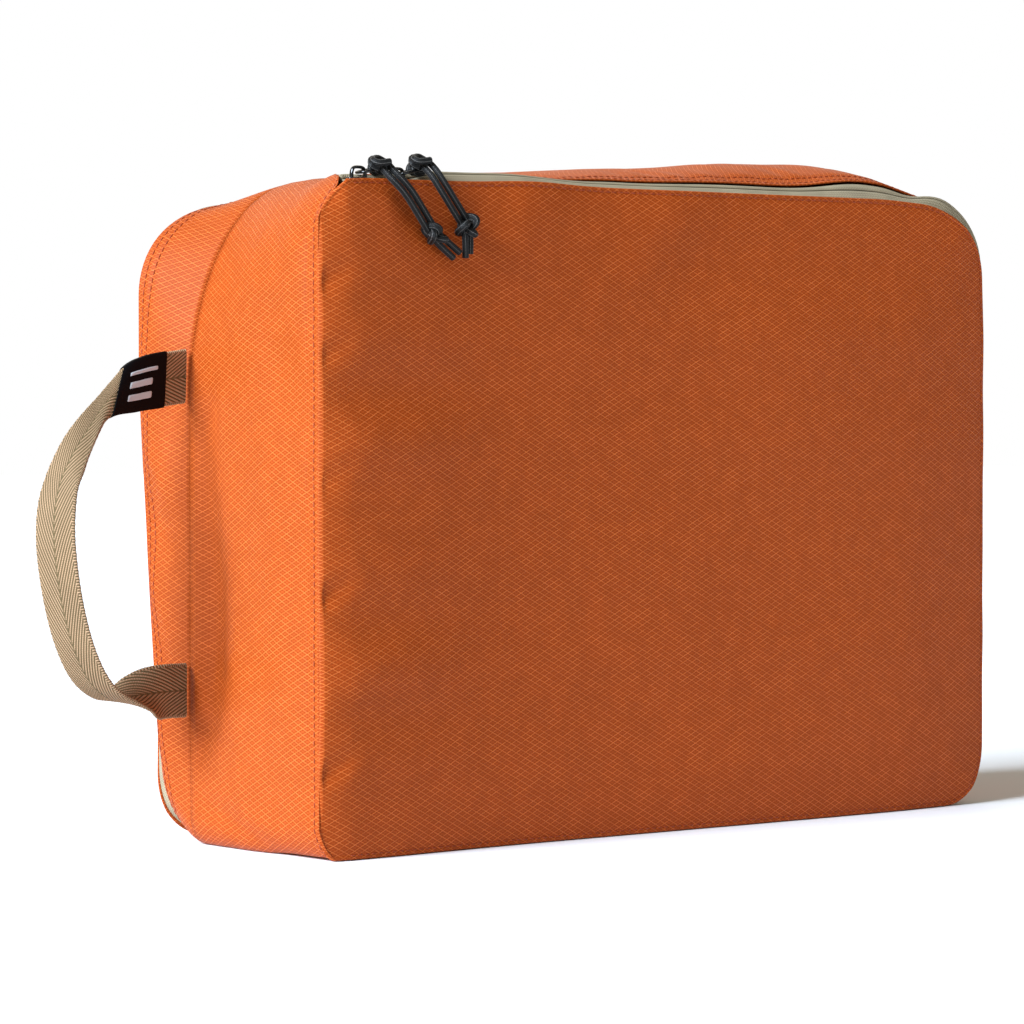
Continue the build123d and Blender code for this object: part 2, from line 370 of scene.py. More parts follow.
def outward(section):
    """Unit normals of a closed outline, in X and Z."""
    step = np.roll(section, -1, axis=0) - np.roll(section, 1, axis=0)
    return unit(np.stack([-step[:, 1], step[:, 0]], axis=1))


def lift_top(section, top, rise):
    """Raises the upper part of an outline by rise, a value for each point."""
    section = section.copy()
    section[:, 1] += rise * smooth(top - 60.0, top, section[:, 1])
    return section


FLAP_CORNERS = ((7.0, 11.0), (12.0, 14.0), (38.0, 30.0), (22.0, 26.0))
HINGE_FLATNESS = (0.5, 0.7, 0.0, 0.0)


def flap_outline(inset, back):
    """The flap's edge, drawn in by inset. The back flap lies further in at its zipper end."""
    corners = [(max(x - inset, 1.0), max(z - inset, 1.0)) for x, z in FLAP_CORNERS]
    section = outline(
        -HALF + inset, FLAP_END - inset, FLAP_LOW + inset, FLAP_TOP - inset, corners, HINGE_FLATNESS
    )
    x, z = section.T
    if back:
        droop = 6.5 * smooth(40, 140, x)
        section[:, 0] -= (4.6 + 1.6 * bell(z, 120, 50)) * smooth(110, 172, x)
        return lift_top(section, FLAP_TOP, -droop)
    rise = 1.0 + 1.2 * bell(x, -76, 24) - 1.0 * bell(x, -176, 14) - 2.2 * smooth(110, 165, x)
    return lift_top(section, FLAP_TOP, rise)


def front_edge():
    """The front gusset's folded edge: its outline, and its Y at each point."""
    corners = ((7.0, 11.0), (13.0, 15.0), (30.0, 25.0), (24.0, 28.0))
    section = outline(-HALF, HALF, 1.2, FLAP_TOP + 1.0, corners, HINGE_FLATNESS)
    x, _ = section.T
    rise = 2.8 * smooth(-176, -120, x) + 1.5 * smooth(-76, -20, x) + 0.8 * smooth(-10, 60, x)
    rise = (rise + 3.0 * bell(x, 110, 26)) * (1 - smooth(126, 168, x))
    rise += 0.35 * np.sin(x / 17.0) * smooth(-40, 0, x) * (1 - smooth(110, 150, x))
    section = lift_top(section, FLAP_TOP, rise)
    at_hinge = 1 - smooth(-172.0, -161.0, x)
    return section, -EDGE_Y - (HINGE_Y - EDGE_Y) * at_hinge


def back_edge():
    """The back gusset's folded edge, before it is turned to the back."""
    corners = ((22.0, 26.0), (24.0, 28.0), (39.0, 36.0), (28.0, 28.0))
    section = outline(-HALF, HALF, 0.0, BACK_TOP, corners)
    x, z = section.T
    at_zipper_end = smooth(130, 178, x)
    section[:, 0] += at_zipper_end * (2.0 * smooth(20, 50, z) + 2.8 * smooth(120, 190, z))
    section = lift_top(section, BACK_TOP, 6.0 * (1 - smooth(40, 150, x)))
    at_hinge = 1 - smooth(-172.0, -161.0, x)
    depth = EDGE_Y + (9.5 * smooth(5, 150, z) - 2.6) * smooth(60, 150, x)
    return section, -depth - (HINGE_Y - EDGE_Y) * at_hinge


def mid_edge(mirrored):
    """The outline at the mid seam, seen from the front, or from the back."""
    corners = [(9.0, 11.0), (60.0, 90.0), (46.0, 50.0), (24.0, 30.0)]
    if mirrored:
        corners = corners[::-1]
    section = outline(-HALF, HALF, 0.0, MID_TOP, corners)
    along = -section[:, 0] if mirrored else section[:, 0]
    return lift_top(section, MID_TOP, 6.0 * bell(along, 70, 130) - 3.5 * bell(along, -122, 28))


# ---------------------------------------------------------------- cloth surfaces

# Rows across a gusset's folded edge: distance from the edge and height
FOLD_ROWS = [(9.0, -1.3), (5.0, -1.15), (1.2, -0.95), (0.2, -0.75), (-0.1, -0.38), (0.1, -0.09)]
EDGE_ROWS = [0.6, 1.3, 2.0, 2.6, 3.3, 4.2, 5.0, 5.8, 6.6, 8.0]
FIRST_STITCH = 2.6
SECOND_STITCH = 5.8


def gusset_relief(x, y, z, across, back):
    """Height of the fabric's folds above the plain gusset. across runs from edge to mid seam."""
    seed = 20 if back else 10
    end = 1 - smooth(-HALF + 8, -HALF + 40, x)
    far_end = smooth(HALF - 34, HALF - 4, x)
    top = smooth(205, 250, z) * (1 - end) * (1 - far_end)
    bottom = (1 - smooth(6, 30, z)) * (1 - 0.6 * end)
    middle = np.sin(math.pi * np.clip(across, 0, 1) ** 0.8)
    if back:
        crown = 2.0 - 2.6 * smooth(50, 120, x)
    else:
        crown = 0.3 + 2.2 * smooth(-50, 10, x) + 3.6 * bell(x, 84, 58)
    full = middle * (crown * top + 1.2 * end + 1.4 * far_end - 1.0 * bottom)
    soft = 0.9 * uneven(y * 1.1, x + z, 26, seed) * middle
    ripples = 0.55 * np.sin((x + 0.25 * y) / 2.9 + 1.6 * uneven(x, y, 40, seed + 1))
    ripples *= top * bell(across, 0.22, 0.22) * (0.5 + 0.5 * uneven(x, y, 30, seed + 2))
    total = full + soft + ripples
    if back:
        return total + far_end * (0.8 * uneven(y, z, 22, seed + 3) * middle)
    return total + end_wall_folds(y, z) * end


def end_wall_folds(y, z):
    """Folds of the front gusset's end wall, beside the handle and at the lower corner."""
    reach = smooth(40, 75, z) * (1 - smooth(150, 186, z))
    deep = 5.2 * bell(y, 13.0 - 0.06 * (120 - z), 9.0) * reach * (0.55 + 0.45 * bell(z, 88, 42))
    under_tab = 2.6 * bell(y - 14 + 0.5 * (z - 50), 0, 8) * bell(z, 42, 16)
    dimple = 2.0 * bell(y, 14, 7) * bell(z, 168, 10)
    low_fold = 1.8 * bell(z - 10 - 0.35 * (y + 5), 0, 5) * bell(y, -4, 22)
    beside_seam = 1.1 * uneven(y * 0.6, z, 24, 15) * bell(y, -38, 16)
    return beside_seam - deep - under_tab - dimple - low_fold


def gusset_grid(edge, edge_y, mid, mid_y, back):
    """Points of a gusset from under its folded edge to the mid seam, and its cloth coordinates."""
    width = np.abs(mid_y - edge_y)
    normal = unit(outward(edge) + outward(mid))
    spread = 8.5 / width
    inner = np.linspace(0.0, 1.0, 9 if back else 22)[1:]
    places = [(d, h, d / width) for d, h in FOLD_ROWS]
    places += [(d, 0.0, d / width) for d in EDGE_ROWS]
    places += [(None, 0.0, spread + (1 - spread) * t) for t in inner]
    station = np.arange(len(edge))
    rows = []
    for distance, height, across in places:
        bent = np.clip(across, 0, 1) ** 0.92
        section = edge + (mid - edge) * bent[:, None]
        y = edge_y + (mid_y - edge_y) * across
        x, z = section.T
        held = smooth(0.0, 0.12, across) * (1 - smooth(0.88, 1.0, across))
        lift = gusset_relief(x, y, z, across, back) * held
        if distance is not None:
            lift = lift + height
        if distance is not None and height == 0:
            lift = lift - 0.22 * (bell(distance, FIRST_STITCH, 0.55) + bell(distance, SECOND_STITCH, 0.55))
            lift = lift + 0.12 * uneven(station, station * 0, 3, 31)
        section = section + normal * lift[:, None]
        rows.append(np.stack([section[:, 0], y, np.maximum(section[:, 1], 0.3)], axis=1))
    rows = np.array(rows)
    return rows, np.stack([rows[..., 1], distance_round(rows)], axis=2)


def distance_round(rows):
    """Each row's own distance round the bag, the rows matched halfway up both end walls."""
    near = slice(HALF_BOTTOM_STEPS + CORNER_STEPS, HALF_BOTTOM_STEPS + CORNER_STEPS + SIDE_STEPS)
    start = HALF_BOTTOM_STEPS + 3 * CORNER_STEPS + SIDE_STEPS + TOP_STEPS
    far = slice(start, start + SIDE_STEPS)
    runs = [arc_length(row[:, [0, 2]]) for row in rows]
    first = [np.interp(120.0, row[near, 2], run[near]) for row, run in zip(rows, runs)]
    second = [np.interp(-120.0, -row[far, 2], run[far]) for row, run in zip(rows, runs)]
    over_top = np.mean(np.array(second) - np.array(first))
    matched = []
    for run, a, b in zip(runs, first, second):
        between = (run - a) * over_top / (b - a)
        matched.append(np.where(run < a, run - a, np.where(run > b, over_top + run - b, between)))
    return np.array(matched)


def edge_row(distance):
    """The row of a gusset's grid at that distance from its edge."""
    return len(FOLD_ROWS) + EDGE_ROWS.index(distance)


# Rows of a flap's folded edge: inset from the edge and how far in the cloth lies
FLAP_FOLD_ROWS = [(6.0, 1.35), (3.0, 1.25), (0.5, 1.0), (0.05, 0.6), (0.05, 0.25), (0.3, 0.04)]
FLAP_EDGE_ROWS = [0.8, 1.3, 1.8, 2.4, 3.2, 4.2, 5.5, 7.5, 10.0, 13.0]
FLAP_STITCH = 1.8


def flap_relief(x, z, back):
    """How far the flap's fabric stands out from its plane."""
    from_hinge = x + HALF
    from_top = FLAP_TOP - z
    from_end = FLAP_END - x
    from_low = z - FLAP_LOW
    nearest = np.minimum(np.minimum(from_top, from_end), from_low)
    pillow = 3.6 * (1 - np.exp(-np.maximum(nearest, 0) / 17.0))
    seed = 60 if back else 50
    roll = uneven(z, z * 0, 17, seed)
    short_of_crest = 1 - np.clip((from_hinge - 0.8) / (17.0 + 4.0 * roll), 0.0, 1.0)
    lobe = (1.7 + 1.1 * roll) * (1 - short_of_crest ** 2)
    lobe *= 1 - 0.9 * smooth(16.0, 92.0, from_hinge + 8 * uneven(x, z, 60, seed + 1))
    swell = 4.2 * smooth(80, 290, from_hinge) - 2.8 * smooth(300, 358, from_hinge)
    swell *= 1 - 0.75 * smooth(195, 235, z)
    soft = 0.55 * uneven(x, z, 70, seed + 2) * smooth(0, 30, nearest)
    folds = 0.0 if back else front_flap_folds(x, z)
    sunk = 0.9 * short_of_crest ** 2 * (1 - smooth(FLAP_TOP - 6, FLAP_TOP, z))
    return pillow + lobe + swell + soft + folds - sunk


def front_flap_folds(x, z):
    """Folds of the front flap at its sliders, along its top edge and beside its hinge."""
    below = 255.8 - 0.277 * (x + 167.0) - z
    crease = 3.2 * smooth(-2.2, 2.2, below) * np.exp(-np.maximum(below, 0) / 14.0)
    crease *= smooth(-177, -168, x) * (1 - smooth(-150, -137, x))
    dip = 3.0 * bell(x, -134 + 0.9 * (248 - z), 13) * smooth(196, 240, z) * (1 - smooth(246, 255, z))
    from_top = FLAP_TOP - z
    first = 1.3 * bell(x + 0.5 * from_top, -72, 16) * smooth(200, 245, z)
    second = 1.2 * bell(x + 0.8 * from_top, 6, 20) * smooth(196, 246, z)
    beside_seam = (1 - smooth(4, 20, x + HALF)) * smooth(0, 3, x + HALF)
    notches = sum(
        depth * bell(z - at - 0.5 * (x + HALF), 0, 4.0) * beside_seam
        for at, depth in ((216, 1.6), (188, 1.2), (141, 0.8), (98, 1.8), (32, 1.8))
    )
    return crease - dip + first + second - notches


def flap_mesh(back):
    """The flap: folded rim rows round the edge and one even patch inside them."""
    rings = []
    for inset, depth in FLAP_FOLD_ROWS + [(d, 0.0) for d in FLAP_EDGE_ROWS]:
        section = flap_outline(inset, back)
        x, z = section.T
        out = flap_relief(x, z, back) - depth
        if depth == 0.0:
            groove = 0.22 * bell(inset, FLAP_STITCH, 0.5) - 0.2 * bell(inset, 0.8, 0.6)
            out = out - groove * smooth(0.0, 8.0, x + HALF)
        out = out - bell(x + HALF, 0, 0.8) * (1 - smooth(FLAP_TOP - 6, FLAP_TOP, z))
        rings.append(np.stack([x, -FLAP_Y - out, z], axis=1))
    rings = np.array(rings)
    count = rings.shape[1]
    patch = even_patch(rings[-1][:, [0, 2]])
    x, z = patch[..., 0], patch[..., 1]
    inside = np.stack([x, -FLAP_Y - flap_relief(x, z, back), z], axis=2)[1:-1, 1:-1]

    index = patch_border(count) + (len(rings) - 1) * count
    tall, wide = inside.shape[:2]
    index[1:-1, 1:-1] = rings.size // 3 + np.arange(tall * wide).reshape(tall, wide)
    patch_faces = [
        tuple(int(index[i + down, j + right]) for down, right in ((0, 0), (0, 1), (1, 1), (1, 0)))
        for i in range(tall + 1)
        for j in range(wide + 1)
    ]
    points = np.concatenate([rings.reshape(-1, 3), inside.reshape(-1, 3)])
    return points, grid_faces(len(rings), count, closed=True, flip=True) + patch_faces, rings


PATCH_TALL = SIDE_STEPS + CORNER_STEPS
PATCH_WIDE = TOP_STEPS + CORNER_STEPS


def patch_border(count):
    """Which point of an outline each border place of an even patch is; row 0 is the lowest."""
    low_left = HALF_BOTTOM_STEPS + CORNER_STEPS // 2
    up_left = low_left + PATCH_TALL
    low_right = up_left + PATCH_WIDE + PATCH_TALL
    index = np.zeros((PATCH_TALL + 1, PATCH_WIDE + 1), int)
    up = np.arange(PATCH_TALL + 1)
    right = np.arange(PATCH_WIDE + 1)
    index[:, 0] = low_left + up
    index[:, -1] = low_right - up
    index[0, :] = (low_left - right) % count
    index[-1, :] = up_left + right
    return index


def even_patch(border):
    """A grid of X and Z that fills a closed outline, from its lower left corner."""
    index = patch_border(len(border))
    left, right = border[index[:, :1]], border[index[:, -1:]]
    low, top = border[index[:1]], border[index[-1:]]
    a = np.linspace(0, 1, PATCH_WIDE + 1)[None, :, None]
    b = np.linspace(0, 1, PATCH_TALL + 1)[:, None, None]
    at_corners = (low[:, :1] * (1 - a) + low[:, -1:] * a) * (1 - b)
    at_corners = at_corners + (top[:, :1] * (1 - a) + top[:, -1:] * a) * b
    return left * (1 - a) + right * a + low * (1 - b) + top * b - at_corners


def zipper_side(x):
    """Indices of an outline's points along the zipper, from the hinge end of the top."""
    top_start = HALF_BOTTOM_STEPS + CORNER_STEPS + SIDE_STEPS
    after = [i for i in range(top_start, len(x)) if x[i] > ZIPPER_START]
    before = [i for i in range(0, HALF_BOTTOM_STEPS + CORNER_STEPS) if x[i] > ZIPPER_START]
    return np.array(after + before)


def tape_arch(x, z, across, back):
    """How far a zipper tape bulges out between the flap's rim and the gusset's edge."""
    spread = np.clip(across, 0, 1)
    if back:
        at_corners = smooth(185, 215, z) + 1 - smooth(25, 60, z)
        height = 0.6 + 2.0 * smooth(100, 150, x) * at_corners * smooth(1, 14, z)
        return height * np.sin(math.pi * spread)
    at_sliders = bell(x, -148, 17)
    height = 1.3 + 2.3 * smooth(-175, -160, x) * (1 - smooth(-90, -40, x)) - 1.4 * at_sliders
    height += 4.6 * smooth(128, 158, x) * smooth(186, 226, z)
    return height * smooth(0, 30, z) * np.sin(math.pi * spread ** (1.4 + 3.6 * at_sliders))


def tape_grid(track, start, end, rows):
    """One zipper tape between the flap's rim and the gusset's folded edge.

    track is the flap's outline, the gusset's edge with its Y, and whether it is the back one.
    """
    flap, edge, edge_y, back = track
    keep = zipper_side(flap[:, 0])
    inner = flap[keep] - outward(flap)[keep] * UNDER_RIM
    outer = edge[keep] - outward(edge)[keep] * UNDER_EDGE
    y_flap = -FLAP_Y + BEHIND_RIM
    grid = []
    for across in np.linspace(start, end, rows):
        under_flap = min(across, 0.0) / FLAP_HEM
        under_gusset = max(across - 1.0, 0.0) / (GUSSET_HEM - 1.0)
        section = inner * (1 - min(across, 1.0)) + outer * min(across, 1.0)
        section = section - outward(edge)[keep] * 1.5 * under_gusset
        arch = tape_arch(inner[:, 0], inner[:, 1], across, back) - 0.5 * bell(across, 0.5, 0.05)
        section = section + outward(flap)[keep] * arch[:, None]
        y = y_flap + (edge_y[keep] + 0.2 - y_flap) * max(across, 0.0) + 1.2 * under_flap
        grid.append(np.stack([section[:, 0], y, section[:, 1]], axis=1))
    grid = np.array(grid)
    around = np.broadcast_to(arc_length(inner), grid.shape[:2])
    return grid, np.stack([around, grid[..., 1]], axis=2)


def stitch_row(name, line, normals, body, back, material):
    """A row of real stitches, each a short thread that dips into the cloth at its ends."""
    run = arc_length(line)
    centres = np.arange(STITCH_PITCH / 2, run[-1] - STITCH_PITCH / 2, STITCH_PITCH)
    place = sample(line, run, centres)
    along = unit(sample(line, run, centres + 0.4) - place)
    up = sample(normals, run, centres)
    up = unit(up - along * np.sum(up * along, axis=1, keepdims=True))
    side = np.cross(along, up)
    steps, sides = 6, 6
    t = np.linspace(-1, 1, steps)
    radius = THREAD_R * np.sqrt(np.maximum(1 - 0.75 * t**4, 0.1))
    height = 0.20 - 0.34 * t**4
    angle = round_angles(sides)
    local_along = np.repeat(t * STITCH_LENGTH / 2, sides)
    local_side = np.outer(radius, np.cos(angle)).ravel()
    local_up = (np.outer(radius, np.sin(angle)) + height[:, None]).ravel()
    points = (
        place[:, None]
        + along[:, None] * local_along[None, :, None]
        + side[:, None] * local_side[None, :, None]
        + up[:, None] * local_up[None, :, None]
    )
    one = grid_faces(steps, sides, closed=True) + end_caps(steps, sides)
    size = steps * sides
    faces = [tuple(n * size + k for k in face) for n in range(len(centres)) for face in one]
    cloth = np.zeros((len(centres) * size, 2))
    cloth[:, 0] = np.tile(local_along, len(centres))
    return add_piece(name, (points, faces, cloth), [material], body, "shell_fabric", back=back)


# ---------------------------------------------------------------- materials

def srgb(red, green, blue):
    """A colour from its usual 0 to 255 values."""
    def channel(value):
        value = value / 255
        return value / 12.92 if value <= 0.04045 else ((value + 0.055) / 1.055) ** 2.4
    return (channel(red), channel(green), channel(blue), 1.0)


# Weaves, millimetres
LATTICE_WIDE = 4.75
LATTICE_HIGH = 2.42
SHELL_YARN = 0.42
TAPE_COLUMN = 0.8


class Value:
    """A number or colour that a material's nodes work out, with the usual operators."""

    def __init__(self, recipe, socket):
        self.recipe = recipe
        self.socket = socket

    def __add__(self, other):
        return self.recipe.math("ADD", self, other)

    def __sub__(self, other):
        return self.recipe.math("SUBTRACT", self, other)

    def __rsub__(self, other):
        return self.recipe.math("SUBTRACT", other, self)

    def __mul__(self, other):
        return self.recipe.math("MULTIPLY", self, other)

    def __truediv__(self, other):
        return self.recipe.math("DIVIDE", self, other)


class Recipe:
    """A material's nodes, one call for each."""

    def __init__(self, name, roughness=0.5, specular=0.4, metallic=0.0):
        self.material = bpy.data.materials.new(name)
        self.material.use_nodes = True
        self.tree = self.material.node_tree
        self.shader = self.tree.nodes["Principled BSDF"]
        self.set(roughness, "Roughness")
        self.set(specular, "Specular IOR Level")
        self.set(metallic, "Metallic")

    def set(self, value, name):
        self.shader.inputs[name].default_value = value

    def feed(self, socket, value):
        """Joins a worked-out value to a socket, or sets a plain one there."""
        if isinstance(value, Value):
            self.tree.links.new(value.socket, socket)
        elif socket.type == "VECTOR":
            socket.default_value = value[:3]
        else:
            socket.default_value = value

    def math(self, operation, *values):
        """One Math node's result."""
        node = self.tree.nodes.new("ShaderNodeMath")
        node.operation = operation
        for socket, value in zip(node.inputs, values):
            self.feed(socket, value)
        return Value(self, node.outputs[0])

    def larger(self, first, second):
        """The larger of two values."""
        return self.math("MAXIMUM", first, second)

    def cloth(self):
        """The cloth's own two coordinates, in millimetres."""
        source = self.tree.nodes.new("ShaderNodeAttribute")
        source.attribute_name = "cloth"
        split = self.tree.nodes.new("ShaderNodeSeparateXYZ")
        self.tree.links.new(source.outputs["Vector"], split.inputs[0])
        return Value(self, split.outputs[0]), Value(self, split.outputs[1])

    def noise(self, size, detail=2.0):
        """Noise in the object's space with features about size millimetres across, 0 to 1."""
        place = self.tree.nodes.new("ShaderNodeTexCoord")
        node = self.tree.nodes.new("ShaderNodeTexNoise")
        node.inputs["Scale"].default_value = 1.0 / (size * MM)
        node.inputs["Detail"].default_value = detail
        self.tree.links.new(place.outputs["Object"], node.inputs["Vector"])
        return Value(self, node.outputs["Fac"])

    def spread(self, value, low, high, to_low=0.0, to_high=1.0):
        """value's stretch from low to high, brought smoothly to another."""
        node = self.tree.nodes.new("ShaderNodeMapRange")
        node.interpolation_type = "SMOOTHSTEP"
        for socket, number in zip(node.inputs, (value, low, high, to_low, to_high)):
            self.feed(socket, number)
        return Value(self, node.outputs[0])

    def wave(self, phase):
        """0 to 1 and back once for each whole number of phase."""
        return self.math("SINE", phase * (2 * math.pi)) * 0.5 + 0.5

    def thread(self, phase, half_width, soft):
        """1 on a thin line at each whole number of phase, 0 between them."""
        away = self.math("PINGPONG", phase, 0.5)
        return self.spread(away, half_width, half_width + soft, 1.0, 0.0)

    def mix(self, factor, first, second):
        """first where factor is 0, second where it is 1 and a blend between them."""
        node = self.tree.nodes.new("ShaderNodeMix")
        node.data_type = "RGBA"
        colours = [s for s in node.inputs if s.type == "RGBA"]
        self.feed(node.inputs[0], factor)
        self.feed(colours[0], first)
        self.feed(colours[1], second)
        return Value(self, next(s for s in node.outputs if s.type == "RGBA"))

    def shade(self, colour, amount):
        """colour made lighter or darker by a factor."""
        node = self.tree.nodes.new("ShaderNodeVectorMath")
        node.operation = "SCALE"
        self.feed(node.inputs[0], colour)
        self.feed(node.inputs["Scale"], amount)
        return Value(self, node.outputs[0])

    def colour(self, value):
        self.feed(self.shader.inputs["Base Color"], value)

    def roughness(self, value):
        self.feed(self.shader.inputs["Roughness"], value)

    def bump(self, height, depth_mm):
        """Raises the surface by height times depth_mm millimetres."""
        node = self.tree.nodes.new("ShaderNodeBump")
        node.inputs["Distance"].default_value = depth_mm * MM
        self.feed(node.inputs["Height"], height)
        self.tree.links.new(node.outputs["Normal"], self.shader.inputs["Normal"])


def lattice(recipe, half_width, soft, per_cell=1):
    """The ripstop's two sets of raised threads: those rising to the right and those falling."""
    u, v = recipe.cloth()
    wide = u / (LATTICE_WIDE / per_cell)
    high = v / (LATTICE_HIGH / per_cell)
    rising = recipe.thread(wide + high, half_width, soft)
    falling = recipe.thread(wide - high, half_width, soft)
    return rising, falling


def ripstop(name, cell, line):
    """Light coated nylon with a raised diamond lattice."""
    recipe = Recipe(name, roughness=0.52, specular=0.14)
    rising, falling = lattice(recipe, 0.03, 0.09)
    strong = rising * recipe.spread(recipe.noise(6.0), 0.35, 0.60, 0.70, 1.0)
    weak = falling * recipe.spread(recipe.noise(4.5), 0.40, 0.64, 0.55, 1.0)
    fine = recipe.larger(*lattice(recipe, 0.05, 0.14, per_cell=2))
    threads = recipe.larger(recipe.larger(strong, weak), fine * 0.28)
    u, v = recipe.cloth()
    weave = recipe.wave(u / SHELL_YARN) * recipe.wave(v / SHELL_YARN)
    tone = recipe.spread(recipe.noise(9.0, 4.0), 0.3, 0.7, 0.96, 1.04)
    grain = weave * 0.08 + 0.96
    recipe.colour(recipe.shade(recipe.mix(threads, cell, line), tone * grain))
    recipe.roughness(recipe.spread(threads, 0.0, 1.0, 0.56, 0.42))
    crinkle = recipe.noise(2.2, 3.0) * 0.3
    recipe.bump(weave * 0.15 + crinkle + threads, 0.13)
    return recipe.material


def coated_back(name, tone):
    """The coated inner face of the shell fabric, its lattice only faintly raised."""
    recipe = Recipe(name, roughness=0.38, specular=0.35)
    raised = recipe.larger(*lattice(recipe, 0.05, 0.12))
    cloudy = recipe.spread(recipe.noise(20.0, 4.0), 0.3, 0.7, 0.90, 1.08)
    recipe.colour(recipe.shade(tone, cloudy))
    recipe.bump(raised * 0.5 + recipe.noise(1.5), 0.06)
    return recipe.material


def tape_fabric(name, light, dark):
    """Zipper and binding tape: a fine herringbone weave."""
    recipe = Recipe(name, roughness=0.75, specular=0.15)
    u, v = recipe.cloth()
    zigzag = recipe.math("PINGPONG", v, TAPE_COLUMN)
    dash = recipe.wave((u + zigzag) / 0.95)
    column = recipe.wave(v / TAPE_COLUMN)
    knit = column * 0.35 + dash * 0.65
    tone = recipe.spread(recipe.noise(9.0, 3.0), 0.3, 0.7, 0.93, 1.06)
    recipe.colour(recipe.shade(recipe.mix(knit, dark, light), tone))
    recipe.bump(knit, 0.12)
    return recipe.material


def herringbone_webbing(name, light, dark):
    """Webbing with steep beaded ridges that meet along its middle."""
    recipe = Recipe(name, roughness=0.66, specular=0.18)
    u, v = recipe.cloth()
    out = recipe.math("ABSOLUTE", v)
    phase = u * (math.sin(WEB_SLANT) / WEB_RIDGE) + out * (math.cos(WEB_SLANT) / WEB_RIDGE)
    run = u * (math.cos(WEB_SLANT) / WEB_BEAD) - out * (math.sin(WEB_SLANT) / WEB_BEAD)
    bead = recipe.wave(recipe.math("FLOOR", phase) * 0.5 + run)
    beaded = recipe.wave(phase) * (bead * 0.45 + 0.55)
    middle = recipe.spread(out, 0.15, 0.6, 0.35, 1.0)
    selvage = recipe.spread(out, WEB_WIDTH / 2 - 1.3, WEB_WIDTH / 2 - 0.9)
    height = beaded * middle * (1.0 - selvage) + recipe.wave(u / WEB_RIB) * selvage
    tone = recipe.spread(recipe.noise(12.0, 3.0), 0.3, 0.7, 0.94, 1.05)
    # Painted shade: the webbing's colour follows the ridges' height, its darker tone laid in the hollows
    # between them.
    painted_ridge_shade = recipe.spread(height, 0.08, 0.7)
    recipe.colour(recipe.shade(recipe.mix(painted_ridge_shade, dark, light), tone))
    recipe.bump(height, 0.35)
    return recipe.material


def braided_cord(name):
    """Black braided sheath with a few lighter lengthwise lines, partly lighter threads and partly painted
    highlights along its ribs.
    """
    recipe = Recipe(name, roughness=0.5, specular=0.3)
    along, around = recipe.cloth()
    turns = around * CORD_RIBS
    braid = recipe.larger(recipe.wave(turns + along * 0.9), recipe.wave(turns - along * 0.9))
    # Grey lengthwise lines: partly lighter threads, partly painted highlight where the ribs catch the
    # light.
    threads_and_glints = recipe.thread(around * (CORD_RIBS / 2), 0.04, 0.05)
    broken_threads_and_glints = threads_and_glints * recipe.spread(braid, 0.45, 0.8)
    recipe.colour(recipe.mix(broken_threads_and_glints, srgb(10, 10, 10), srgb(106, 103, 100)))
    recipe.bump(braid, 0.16)
    return recipe.material


def black_metal(name):
    """Glossy black painted metal, a little worn."""
    recipe = Recipe(name, roughness=0.2, specular=0.6, metallic=0.6)
    recipe.set(0.7, "Coat Weight")
    recipe.set(0.12, "Coat Roughness")
    wear = recipe.spread(recipe.noise(1.2, 4.0), 0.62, 0.74)
    recipe.colour(recipe.mix(wear, srgb(20, 20, 22), srgb(70, 71, 74)))
    recipe.roughness(recipe.spread(recipe.noise(0.8, 3.0), 0.3, 0.7, 0.16, 0.32))
    return recipe.material


def nylon_coil(name, tone):
    """Smooth moulded nylon filament."""
    recipe = Recipe(name, roughness=0.33, specular=0.5)
    recipe.colour(recipe.shade(tone, recipe.spread(recipe.noise(3.0), 0.3, 0.7, 0.9, 1.08)))
    recipe.bump(recipe.noise(0.5, 2.0), 0.03)
    return recipe.material


def sewing_thread(name, tone):
    """Twisted polyester thread."""
    recipe = Recipe(name, roughness=0.45, specular=0.35)
    along, _ = recipe.cloth()
    twist = recipe.wave(along / 0.45)
    recipe.colour(recipe.shade(tone, twist * 0.35 + 0.75))
    recipe.bump(twist, 0.06)
    return recipe.material


def label_satin(name, tone):
    """Close satin weave, as on a woven label."""
    recipe = Recipe(name, roughness=0.6, specular=0.06)
    u, v = recipe.cloth()
    weave = recipe.wave(v / 0.32) * 0.6 + recipe.wave((u + v) / 0.7) * 0.4
    recipe.colour(recipe.shade(tone, weave * 0.3 + 0.8))
    recipe.bump(weave, 0.05)
    return recipe.material


SHELL = ripstop("shell_ripstop", srgb(158, 61, 7), srgb(214, 110, 50))
SHELL_BACK = coated_back("shell_coating", srgb(180, 92, 48))
DIVIDER_CLOTH = ripstop("divider_ripstop", srgb(128, 120, 102), srgb(148, 140, 120))
TAPE = tape_fabric("zipper_tape", srgb(184, 170, 143), srgb(124, 112, 88))
BINDING = tape_fabric("binding_tape", srgb(166, 152, 126), srgb(108, 97, 76))
# The webbing's darker tone is painted shade, laid in the hollows between its ridges.
WEBBING = herringbone_webbing("webbing", srgb(178, 144, 112), srgb(96, 80, 52))
CORD = braided_cord("pull_cord")
METAL = black_metal("slider_metal")
COIL = nylon_coil("zipper_coil", srgb(140, 130, 108))
# The orange thread is deepened to a darker orange with painted shade, so the stitch rows read as dark
# dashes.
THREAD_WITH_PAINTED_SHADE = sewing_thread("orange_thread_painted_shade", srgb(158, 62, 22))
TAPE_THREAD = sewing_thread("khaki_thread", srgb(140, 128, 102))
LABEL = label_satin("label_black", srgb(9, 9, 11))
LABEL_BAR = label_satin("label_bar", srgb(186, 190, 194))


# ---------------------------------------------------------------- bag and flaps

def side_name(back):
    """The name that the nodes and bodies of one half start with."""
    return "back" if back else "front"


